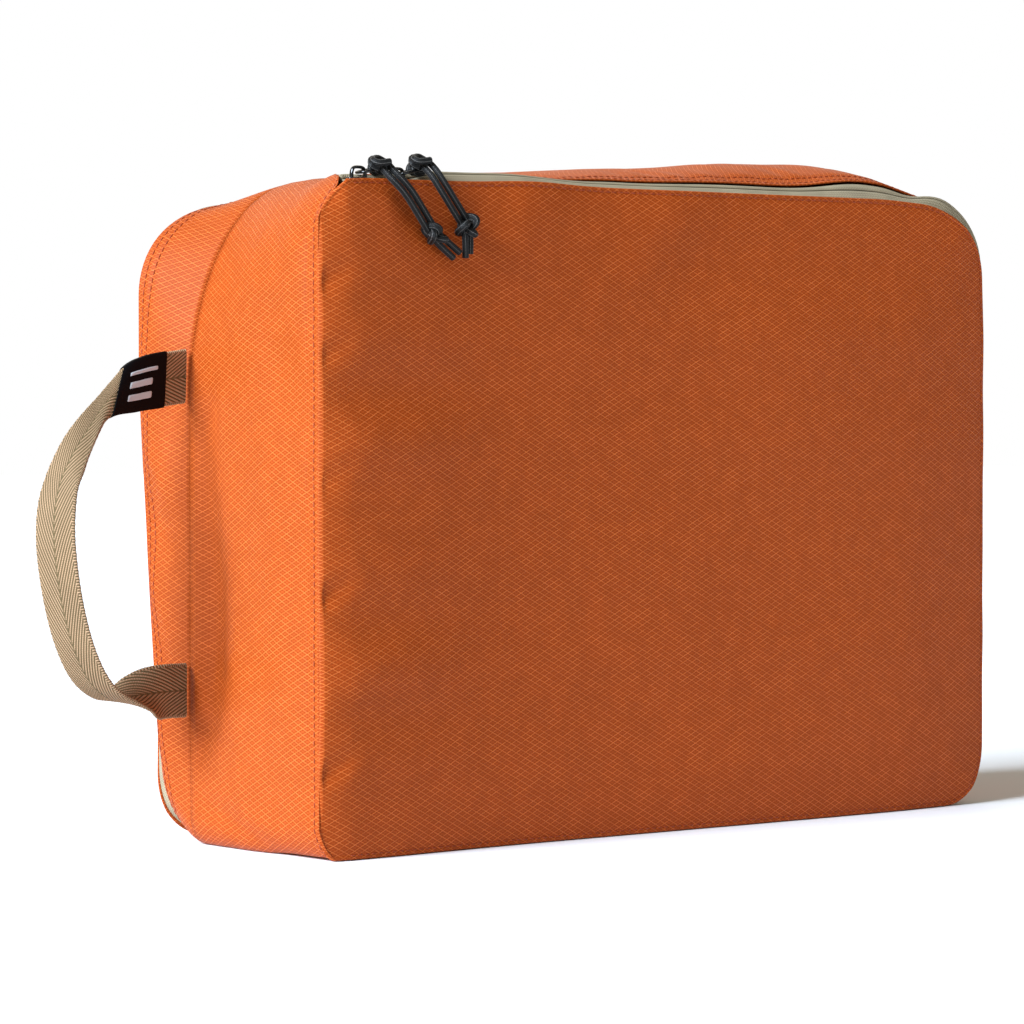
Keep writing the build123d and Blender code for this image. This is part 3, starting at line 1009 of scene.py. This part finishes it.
def build_gusset(back):
    """One gusset with a folded rim, its double stitching and its hinge stitching.

    It gives back the track that the zipper's tapes follow between flap and gusset.
    """
    side = side_name(back)
    edge, edge_y = back_edge() if back else front_edge()
    mid_y = -MID_Y if back else MID_Y
    grid, cloth = gusset_grid(edge, edge_y, mid_edge(back), mid_y, back)
    shape = (grid, grid_faces(*grid.shape[:2], closed=True), cloth)
    obj = add_piece(side + "_gusset_cloth", shape, [SHELL, SHELL_BACK], "bag", "shell_fabric",
                    side + "_gusset", back=back, thickness=CLOTH)

    normals = grid_normals(grid, closed=True)
    zipper = zipper_side(edge[:, 0])
    hinge = np.arange(HALF_BOTTOM_STEPS + 2, HALF_BOTTOM_STEPS + 2 * CORNER_STEPS + SIDE_STEPS + 6)
    rows_of_stitches = (
        ("near_stitches", zipper, FIRST_STITCH),
        ("far_stitches", zipper, SECOND_STITCH),
        ("hinge_stitches", hinge, FIRST_STITCH),
    )
    for name, keep, distance in rows_of_stitches:
        line = grid[edge_row(distance), keep]
        up = normals[edge_row(distance), keep]
        stitch_row(side + "_gusset_" + name, line, up, "bag", back, THREAD_WITH_PAINTED_SHADE)
    width = float(np.mean(np.abs(mid_y - edge_y)) + FOLD_ROWS[0][0]) * MM
    return flap_outline(0.0, back), edge, edge_y, back


def build_flap(back):
    """One flap as a sheet with a folded rim and its stitching."""
    side = side_name(back)
    points, faces, rings = flap_mesh(back)
    name = side + "_flap_cloth"
    obj = make_object(name, turn_half(points, back), faces, points[:, [0, 2]])
    thicken(obj, CLOTH, inner_slot=1)
    paint(obj, SHELL, SHELL_BACK)
    start = turn_half(np.array([-HALF, -FLAP_Y, 128.0]), back) * MM
    end = turn_half(np.array([-HALF + 9.0, -FLAP_Y, 128.0]), back) * MM
    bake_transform(obj)
    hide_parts(side + "_panel")

    row = len(FLAP_FOLD_ROWS) + FLAP_EDGE_ROWS.index(FLAP_STITCH)
    keep = zipper_side(rings[row][:, 0])
    up = -grid_normals(rings, closed=True)[row, keep]
    stitches = stitch_row(side + "_flap_stitches", rings[row, keep], up, side + "_flap", back, THREAD_WITH_PAINTED_SHADE)


def build_zipper(back, track):
    """Two woven tapes, edge to edge, with the coils inside."""
    side = side_name(back)
    halves = (
        (side + "_flap", side + "_flap", FLAP_HEM, FLAP_TAPE_EDGE, FLAP_COIL),
        (side + "_gusset", "bag", GUSSET_TAPE_EDGE, GUSSET_HEM, GUSSET_COIL),
    )
    for name, body, start, end, coil_at in halves:
        grid, cloth = tape_grid(track, start, end, TAPE_ROWS)
        shape = (grid, grid_faces(*grid.shape[:2]), cloth)
        add_piece(name + "_tape_cloth", shape, [TAPE], body, "zipper_tape", name + "_tape",
                  back=back, thickness=TAPE_THICK)
        build_coil(name, body, back, track, coil_at)


def build_coil(name, body, back, track, at):
    """One side's filament, wound along the inside of its tape."""
    grid, _ = tape_grid(track, at, at + 0.02, 2)
    line = grid[0]
    normal = grid_normals(grid)[0]
    run = arc_length(line)
    pitch, per_turn = 1.5, 8
    distances = np.arange(0.0, run[-1], pitch / per_turn)
    centre = sample(line, run, distances)
    up = unit(sample(normal, run, distances))
    along = unit(np.gradient(centre, axis=0))
    across = np.cross(along, up)
    angle = 2 * math.pi * distances / pitch
    centre = centre - up * 1.75
    helix = centre + across * (0.85 * np.cos(angle))[:, None] + up * (0.62 * np.sin(angle))[:, None]
    add_piece(name + "_coil_filament", tube(helix, 0.27, sides=5), [COIL], body, "zipper_coil",
              name + "_coil", back=back)


def build_divider():
    """The inner wall, one flat sheet held all round in the mid seam."""
    border = mid_edge(False) - outward(mid_edge(False)) * 1.4
    grid = even_patch(border)
    x, z = grid[..., 0], grid[..., 1]
    nearest = np.minimum(np.minimum(x + HALF, HALF - x), np.minimum(z, MID_TOP - z))
    y = MID_Y - 0.5 + 1.1 * uneven(x, z, 60, 71) * smooth(0, 40, nearest)
    shape = (np.stack([x, y, z], axis=2), grid_faces(*x.shape), grid)
    obj = add_piece("divider_cloth", shape, [DIVIDER_CLOTH], "bag", "divider_fabric", "divider",
                    thickness=0.35)


def build_binding(node, line, across, thick_way, width, thickness, back):
    """A flat band of folded tape that follows a line, open or closed."""
    angle = round_angles(24)
    wide = squared(np.cos(angle), 0.35) * width / 2
    high = np.sin(angle) * thickness / 2
    points = (
        line[:, None]
        + across[:, None] * wide[None, :, None]
        + thick_way[:, None] * high[None, :, None]
    )
    cloth = np.stack(np.broadcast_arrays(arc_length(line)[:, None], wide[None, :]), axis=2)
    faces = grid_faces(len(line), len(angle), closed=True)
    is_open = np.linalg.norm(line[0] - line[-1]) > 1.0
    if is_open:
        faces += end_caps(len(line), len(angle))
    add_piece(node + "_tape", (points, faces, cloth), [BINDING], "bag", "binding_tape", node, back=back)


def build_bindings():
    """Folded tape over the seam allowances: round the mid seam and down both hinges."""
    section = mid_edge(False)
    normal = outward(section)
    inner = section - normal * 5.0
    line = np.column_stack([inner[:, 0], np.full(len(inner), MID_Y + 1.0), inner[:, 1]])
    line = np.vstack([line, line[:1]])
    across = np.column_stack([normal[:, 0], normal[:, 0] * 0, normal[:, 1]])
    across = np.vstack([across, across[:1]])
    depth_way = np.tile([0.0, 1.0, 0.0], (len(line), 1))
    build_binding("mid_seam_binding", line, across, depth_way, width=6.5, thickness=1.5, back=False)
    row = line - across * 3.0 + depth_way * 0.85
    stitch_row("mid_binding_stitches", row, depth_way, "bag", False, TAPE_THREAD)
    for back in (False, True):
        side = side_name(back)
        z = np.linspace(18.0, 238.0, 60)
        line = np.column_stack([np.full(60, -HALF + 2.1), np.full(60, -49.6), z])
        across = np.tile([0.0, 1.0, 0.0], (60, 1))
        inward = np.tile([1.0, 0.0, 0.0], (60, 1))
        build_binding(side + "_hinge_binding", line, across, inward, width=7.0, thickness=1.4, back=back)
        row = line + across * 1.6 + inward * 0.75
        stitch_row(side + "_hinge_binding_stitches", row, inward, "bag", back, TAPE_THREAD)


build_divider()
for is_back in (False, True):
    zipper_track = build_gusset(is_back)
    build_flap(is_back)
    build_zipper(is_back, zipper_track)
build_bindings()


# ---------------------------------------------------------------- sliders, pullers and pulls

SLIDER_X = {"a": -156.0, "b": -137.5}
ZIP_Y = -50.0
PLATE_TOP = 256.2
PLATE_LOW = 255.2
UNDER_TOP = 251.0

# The wire loop on each slider: its far end, its width and its rise to the far end
RING_END = 11.4
RING_WIDE = 6.0
RING_LOW = PLATE_TOP + 2.0
RING_RISE = 2.2


def plate(x, low, high, length, nose, tail, rounding):
    """A slider plate: wider at its nose than at its tail, with soft edges."""
    angle = round_angles(48)
    along = squared(np.cos(angle), 0.55)
    across = squared(np.sin(angle), 0.55)
    half = np.where(along > 0, nose, tail) / 2 * (1 - 0.10 * np.abs(along))
    levels = (
        (low, rounding), (low + 0.4 * rounding, 0.3 * rounding), (low + rounding, 0.0),
        (high - rounding, 0.0), (high - 0.4 * rounding, 0.3 * rounding), (high, rounding),
        (high + 0.12, 2.2 * rounding),
    )
    rows = []
    for z, drawn_in in levels:
        px = x + along * (length / 2 - drawn_in)
        py = ZIP_Y + across * (half - drawn_in)
        rows.append(np.stack([px, py, np.full(len(angle), z)], axis=1))
    rows = np.array(rows)
    faces = grid_faces(len(rows), len(angle), closed=True) + end_caps(len(rows), len(angle))
    return rows, faces, rows[..., :2]


def build_slider(side, letter, back):
    """Plates, post, side flanges and the arched crown that carries the puller."""
    x = SLIDER_X[letter]
    parts = [
        plate(x, PLATE_LOW, PLATE_TOP, 11.0, 6.4, 5.6, 0.3),
        plate(x, UNDER_TOP - 1.1, UNDER_TOP - 0.1, 11.0, 6.4, 5.6, 0.3),
        tube([(x - 2.6, ZIP_Y, UNDER_TOP - 0.4), (x - 2.6, ZIP_Y, PLATE_LOW + 0.4)], 0.3),
    ]
    for flange_y in (ZIP_Y - 2.9, ZIP_Y + 2.9):
        rail = [(x - 4.2, flange_y, UNDER_TOP + 0.5), (x + 4.2, flange_y, UNDER_TOP + 0.5)]
        parts.append(tube(curve_through(rail, 12), 0.5, sides=12))
    crown = [
        (x - 3.3, ZIP_Y, PLATE_TOP - 0.3), (x - 3.2, ZIP_Y, PLATE_TOP + 2.0),
        (x - 2.4, ZIP_Y, PLATE_TOP + 3.6), (x - 0.4, ZIP_Y, PLATE_TOP + 4.0),
        (x + 2.0, ZIP_Y, PLATE_TOP + 3.7), (x + 3.0, ZIP_Y, PLATE_TOP + 2.2),
        (x + 3.2, ZIP_Y, PLATE_TOP + 0.2),
    ]
    points, faces, cloth = tube(curve_through(crown, 60), 0.62, sides=14)
    points = points * np.array([1.0, 1.55, 1.0]) - np.array([0.0, 0.55 * ZIP_Y, 0.0])
    parts.append((points, faces, cloth))
    name = side + "_slider_" + letter
    add_piece(name + "_body", join_parts(parts), [METAL], side + "_runner_" + letter,
              "slider_metal", name, back=back)


def puller_line(letter):
    """The middle of the wire loop, from its bar in the crown round its raised far end."""
    wide = RING_WIDE / 2
    corner = 1.4
    end = RING_END - 0.6
    ring = np.array([
        (0.0, -wide + corner), (0.0, wide - corner), (corner, wide), (end / 2, wide),
        (end - corner, wide), (end, wide - corner), (end, -wide + corner), (end - corner, -wide),
        (end / 2, -wide), (corner, -wide),
    ])
    height = RING_LOW + RING_RISE * ring[:, 0] / end
    ring = np.column_stack([SLIDER_X[letter] + 0.6 + ring[:, 0], ZIP_Y + ring[:, 1], height])
    spans = len(ring)
    per_span = 9
    whole = curve_through(np.vstack([ring[-1:], ring, ring[:2]]), (spans + 2) * per_span + 1)
    return whole[per_span: -per_span - 1]


def build_puller(side, letter, back):
    """The wire loop through the slider's crown."""
    shape = tube(puller_line(letter), 0.6, sides=14, closed=True)
    name = side + "_puller_" + letter
    add_piece(name + "_wire", shape, [METAL], side + "_runner_" + letter, "slider_metal", name,
              back=back)


def strand_line(route, letter, way):
    """Points along one strand, read from the NURBS spline of its route."""
    curve = bpy.data.curves.new("strand_route", "CURVE")
    curve.dimensions = "3D"
    curve.resolution_u = 14
    spline = curve.splines.new("NURBS")
    spline.points.add(len(route) - 1)
    for k, (point, place) in enumerate(zip(spline.points, route)):
        apart = TAIL_SPREAD[letter] if k > KNOT_AT else 1.0
        point.co = (*((np.array(place) + STRAND_OFFSET * way * apart) * MM), 1.0)
    spline.order_u = 3
    spline.use_endpoint_u = True
    holder = bpy.data.objects.new("strand_route", curve)
    mesh = bpy.data.meshes.new_from_object(holder)
    line = np.array([vertex.co for vertex in mesh.vertices]) / MM
    bpy.data.objects.remove(holder)
    bpy.data.curves.remove(curve)
    bpy.data.meshes.remove(mesh)
    return line


def build_pull(side, letter, route, back):
    """A doubled cord from its hitch on the puller, through its knot, to two cut tails."""
    knot = build_knot(side, letter, route, back)
    hitch = build_hitch(side, letter, route, back)
    for word, way in (("left", -1), ("right", 1)):
        line = strand_line(route, letter, way)
        shape = tube(line, cord_radius(line), sides=40, ribs=CORD_RIBS, rib_depth=0.10)
        name = side + "_cord_" + letter + "_" + word
        obj = add_piece(name + "_braid", shape, [CORD], side + "_pull_" + letter, "pull_cord", name,
                        back=back)
        path = turn_half(line, back) * MM


def cord_radius(line):
    """The cord's radius along it, a little slimmer where the knot grips it."""
    run = arc_length(line)
    return CORD_D / 2 * (1 - 0.05 * bell(run, run[-1] * 0.66, 2.0))


def tight_cord(line, radius, closed=False):
    """A stretch of pull cord drawn tight in a knot or hitch."""
    return tube(line, radius, sides=30, closed=closed, ribs=CORD_RIBS, rib_depth=0.14)


KNOT_SIZE = {"a": (5.4, 4.0, 4.1), "b": (4.9, 4.0, 5.6)}
KNOT_TURN = {"a": -34.0, "b": -70.0}


def build_knot(side, letter, route, back):
    """An overhand knot: the doubled cord's turns, pulled tight."""
    t = round_angles(150)
    size = np.array(KNOT_SIZE[letter])
    parts = []
    for share, shift, push in ((1.0, 0.0, -0.3), (0.70, 0.55, 0.7)):
        turns = np.stack([
            np.sin(t + shift) + 2 * np.sin(2 * t + shift),
            -np.sin(3 * t),
            np.cos(t + shift) - 2 * np.cos(2 * t + shift),
        ], axis=1)
        turns = turns / np.abs(turns).max(axis=0) * (size - 1.4) * share
        turns[:, 1] += push
        parts.append(tight_cord(turns, 1.42, closed=True))
    points, faces, cloth = join_parts(parts)
    angle = math.radians(KNOT_TURN[letter])
    spin = np.array([
        [math.cos(angle), 0, math.sin(angle)], [0, 1, 0], [-math.sin(angle), 0, math.cos(angle)],
    ])
    shape = (points @ spin + np.array(route[KNOT_AT]), faces, cloth)
    name = side + "_knot_" + letter
    return add_piece(name + "_turns", shape, [CORD], side + "_pull_" + letter, "pull_cord", name,
                     back=back)


def build_hitch(side, letter, route, back):
    """The doubled cord's two turns round the puller, with the bight drawn tight over them."""
    bar = np.array([SLIDER_X[letter] + RING_END - 1.0, ZIP_Y, RING_LOW + RING_RISE])
    t = np.linspace(0.0, 1.0, 48)
    angle = 2 * math.pi * (1.12 * t + 0.05)
    parts = []
    for shift in (-1.5, 1.5):
        radius = 1.9 + 0.15 * np.sin(2 * angle)
        turn = np.stack([
            radius * 1.25 * np.cos(angle) - 0.8, shift - 1.2 * (t - 0.5), radius * np.sin(angle),
        ], axis=1)
        parts.append(tight_cord(bar + turn, 1.3))
    start = np.array(route[0])
    bights = (
        [(0.6, 1.0, 1.4), (-2.2, 1.6, 2.6), (-5.4, -0.2, 1.6), (-4.4, -2.4, 0.6), (0.2, -3.4, 1.2)],
        [(1.8, 0.0, 0.6), (0.4, 2.6, 1.9), (-3.6, 3.0, 2.2), (-4.9, 1.2, 0.0), (-2.6, 0.0, -1.4)],
    )
    for bight in bights:
        parts.append(tight_cord(curve_through(start + np.array(bight), 40), 1.35))
    return add_piece(side + "_hitch_" + letter, join_parts(parts), [CORD], side + "_pull_" + letter,
                     "pull_cord", back=back)


for is_back in (False, True):
    for pull_letter, pull_route in (("a", ROUTE_A), ("b", ROUTE_B)):
        build_slider(side_name(is_back), pull_letter, is_back)
        build_puller(side_name(is_back), pull_letter, is_back)
        build_pull(side_name(is_back), pull_letter, pull_route, is_back)


# ---------------------------------------------------------------- handle

# Out from the seam and up, in the plane of the loop
HANDLE_LINE = [
    (-1.5, 181.8), (11.0, 180.4), (24.0, 178.6), (36.5, 175.2), (48.0, 164.6), (59.5, 151.4),
    (66.8, 138.0), (68.8, 121.0), (65.3, 99.0), (58.5, 79.5), (49.0, 65.8), (36.0, 58.8),
    (23.0, 59.6), (11.0, 60.5), (-1.5, 60.4),
]

# The way of the strap's width near its upper end: distance along the strap, then out, back and up
UPPER_WIDTHS = np.array([
    (0.0, -0.03, 0.00, 1.00), (12.0, -0.07, 0.00, 1.00), (26.0, -0.20, 0.03, 0.97),
    (38.0, -0.46, 0.14, 0.87), (48.0, -0.56, 0.44, 0.70), (62.0, -0.35, 0.54, 0.77),
    (72.0, -0.23, 0.78, 0.57), (80.0, -0.21, 0.95, 0.27), (92.0, -0.04, 0.99, 0.14),
    (108.0, 0.00, 1.00, 0.00),
])


def in_loop_plane(u, across, z):
    """The model's X, Y and Z of a place in the handle's loop plane; across is towards the back."""
    cos, sin = math.cos(HANDLE_SWING), math.sin(HANDLE_SWING)
    x = HANDLE_PIVOT[0] - u * cos - across * sin
    y = HANDLE_PIVOT[1] - u * sin + across * cos
    return np.stack([x, y, z], axis=-1)


def handle_frame():
    """The strap's middle line with its width direction and face direction, in the loop plane.

    The strap's back edge is its upper edge where it leaves the seam at either end.
    """
    count = HANDLE_POINTS
    flat = curve_through([(u, 0.0, z) for u, z in HANDLE_LINE], count * 3)
    run = arc_length(flat)
    even = np.linspace(0, run[-1], count)
    line = sample(flat, run, even)
    tangent = unit(np.gradient(line, axis=0))
    upper = eased(sample(UPPER_WIDTHS[:, 1:], UPPER_WIDTHS[:, 0], even), count // 40)
    back_way = np.tile([0.0, 1.0, 0.0], (count, 1))
    twist = np.radians(-90 * smooth(run[-1] - 40, run[-1] - 10, even))
    lower = back_way * np.cos(twist)[:, None] + np.cross(tangent, back_way) * np.sin(twist)[:, None]
    width_way = unit(np.where((even < UPPER_WIDTHS[-1, 0])[:, None], upper, lower))
    return line, even, width_way, unit(np.cross(width_way, tangent))


def eased(values, reach):
    """Rows of values, each averaged with its neighbours up to reach places away."""
    padded = np.vstack([values[:1]] * reach + [values] + [values[-1:]] * reach)
    window = np.ones(2 * reach + 1) / (2 * reach + 1)
    return np.stack([np.convolve(padded[:, k], window, "valid") for k in range(3)], axis=1)


def to_model(points):
    """Loop plane points, as out, across and up, in the model."""
    return in_loop_plane(points[..., 0], points[..., 1], points[..., 2])


def build_webbing():
    """The strap, with rounded selvages, woven ridges and its twist at each end."""
    line, run, width_way, face_way = handle_frame()
    columns = 44
    across = np.linspace(-1, 1, columns) * WEB_WIDTH / 2
    out = np.abs(across)[None, :]
    phase = (out * math.cos(WEB_SLANT) + run[:, None] * math.sin(WEB_SLANT)) / WEB_RIDGE
    ridge = 0.11 * np.sin(2 * math.pi * phase)
    rim = np.sqrt(np.clip(1 - (out / (WEB_WIDTH / 2)) ** 14, 0.0, 1.0))
    scallop = 0.12 * np.sin(2 * math.pi * run / WEB_RIB)[:, None] * smooth(9.0, 10.5, out)
    wide = width_way[:, None] * (across[None, :] + np.sign(across) * scallop)[..., None]
    high = face_way[:, None] * ((WEB_THICK / 2 + ridge) * rim)[..., None]
    cloth = np.stack(np.broadcast_arrays(run[:, None], across[None, :]), axis=2)
    sheets = []
    for face in (1, -1):
        points = to_model(line[:, None] + wide + high * face)
        sheets.append((points, grid_faces(len(line), columns, flip=face > 0), cloth))
    obj = make_object("handle_webbing_strap", *join_parts(sheets))
    weld = obj.modifiers.new("weld", "WELD")
    weld.merge_threshold = 0.03 * MM
    apply_modifiers(obj)
    paint(obj, WEBBING)
    pivot = Vector(to_model(np.array([0.0, 0.0, 121.0])) * MM)
    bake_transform(obj)
    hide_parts("handle_webbing", "handle_ends")


LABEL_FROM = 12.0
LABEL_TO = 38.4
LABEL_LIFT = WEB_THICK / 2 + 0.6

# The label's bars: start and end along the strap, middle across it, and height
LABEL_BARS = ((17.0, 33.0, 5.2, 1.5), (19.5, 32.0, 0.4, 2.6), (19.5, 32.0, -4.8, 2.6))


def on_label(along, across, height):
    """Places on the strap, along and across it and out from its front face; arrays of one shape."""
    line, run, width_way, face_way = handle_frame()
    flat = along.ravel()
    centre = sample(line, run, flat)
    wide = unit(sample(width_way, run, flat))
    face = unit(sample(face_way, run, flat))
    place = centre + wide * across.ravel()[:, None] - face * height.ravel()[:, None]
    return to_model(place.reshape(along.shape + (3,)))


def build_label():
    """The woven size label: a sleeve round the strap with plain bars woven in."""
    steps = np.linspace(LABEL_FROM, LABEL_TO, 60)
    angle = round_angles(72)
    across = squared(np.cos(angle), 0.16) * (WEB_WIDTH / 2 + 0.4)
    high = squared(np.sin(angle), 0.30) * LABEL_LIFT
    along, across, high = np.broadcast_arrays(steps[:, None], across[None, :], high[None, :])
    faces = grid_faces(*along.shape, closed=True, flip=True)
    shape = (on_label(along, across, high), faces, np.stack([along, across], axis=2))
    add_piece("size_label_sleeve", shape, [LABEL], "handle", "label", "size_label", thickness=0.4)

    parts = []
    for begin, finish, middle, height in LABEL_BARS:
        stretch = np.linspace(begin, finish, 26)
        spots = np.linspace(-0.5, 0.5, 9)
        ends = smooth(0, 0.6, np.minimum(stretch - begin, finish - stretch))
        lift = LABEL_LIFT - 0.2 + 0.24 * (1 - (2 * spots[None, :]) ** 6) + 0.25 * ends[:, None]
        along, across = np.broadcast_arrays(stretch[:, None], (middle + spots * height)[None, :])
        where = np.stack([along, across], axis=2)
        parts.append((on_label(along, across, lift), grid_faces(*along.shape), where))
    add_piece("size_label_bars", join_parts(parts), [LABEL_BAR], "handle", "label")


build_webbing()
build_label()


# ---------------------------------------------------------------- studio

def pale_floor():
    """A pale matt floor."""
    recipe = Recipe("studio_floor", roughness=0.9, specular=0.0)
    recipe.colour((0.93, 0.93, 0.93, 1.0))
    size = 6000.0
    corners = [(-size, -size, 0), (size, -size, 0), (size, size, 0), (-size, size, 0)]
    floor = make_object("studio_floor", np.array(corners, float), [(0, 1, 2, 3)])
    paint(floor, recipe.material)


def sun(name, towards_light, strength, spread_degrees, tint):
    """A broad soft light from one direction."""
    light = bpy.data.lights.new(name, "SUN")
    light.energy = strength
    light.angle = math.radians(spread_degrees)
    light.color = tint
    holder = bpy.data.objects.new(name, light)
    holder.rotation_euler = Vector(towards_light).to_track_quat("Z", "Y").to_euler()
    bpy.context.scene.collection.objects.link(holder)


def studio_world(light_level):
    """Even, slightly warm light from all round, seen by the camera as plain white."""
    world = bpy.data.worlds.new("studio")
    world.use_nodes = True
    nodes, links = world.node_tree.nodes, world.node_tree.links
    nodes.clear()
    out = nodes.new("ShaderNodeOutputWorld")
    light = nodes.new("ShaderNodeBackground")
    light.inputs["Color"].default_value = (1.0, 0.93, 0.79, 1.0)
    light.inputs["Strength"].default_value = light_level
    seen = nodes.new("ShaderNodeBackground")
    seen.inputs["Color"].default_value = (1.0, 1.0, 1.0, 1.0)
    path = nodes.new("ShaderNodeLightPath")
    mix = nodes.new("ShaderNodeMixShader")
    links.new(path.outputs["Is Camera Ray"], mix.inputs[0])
    links.new(light.outputs[0], mix.inputs[1])
    links.new(seen.outputs[0], mix.inputs[2])
    links.new(mix.outputs[0], out.inputs[0])
    bpy.context.scene.world = world


def place_camera():
    """The photograph's viewpoint: a long lens, low and to the handle's side of the front."""
    camera = bpy.data.cameras.new("camera")
    camera.lens = 146.6
    camera.sensor_width = 36.0
    camera.clip_end = 100.0
    holder = bpy.data.objects.new("camera", camera)
    holder.location = (-1.1249, -1.2859, 0.176)
    down = math.radians(1.66)
    look = Vector((0.6455 * math.cos(down), 0.7638 * math.cos(down), -math.sin(down)))
    holder.rotation_euler = look.to_track_quat("-Z", "Y").to_euler()
    bpy.context.scene.collection.objects.link(holder)
    bpy.context.scene.camera = holder


pale_floor()
sun("key", (-0.90, -0.05, 0.50), strength=6.9, spread_degrees=30, tint=(0.94, 1.08, 1.24))
sun("back_fill", (0.5, 1.0, 0.7), strength=0.8, spread_degrees=60, tint=(1.0, 0.92, 0.8))
studio_world(light_level=0.22)
place_camera()
bpy.context.scene.view_settings.view_transform = "Standard"
bpy.context.scene.view_settings.look = "None"
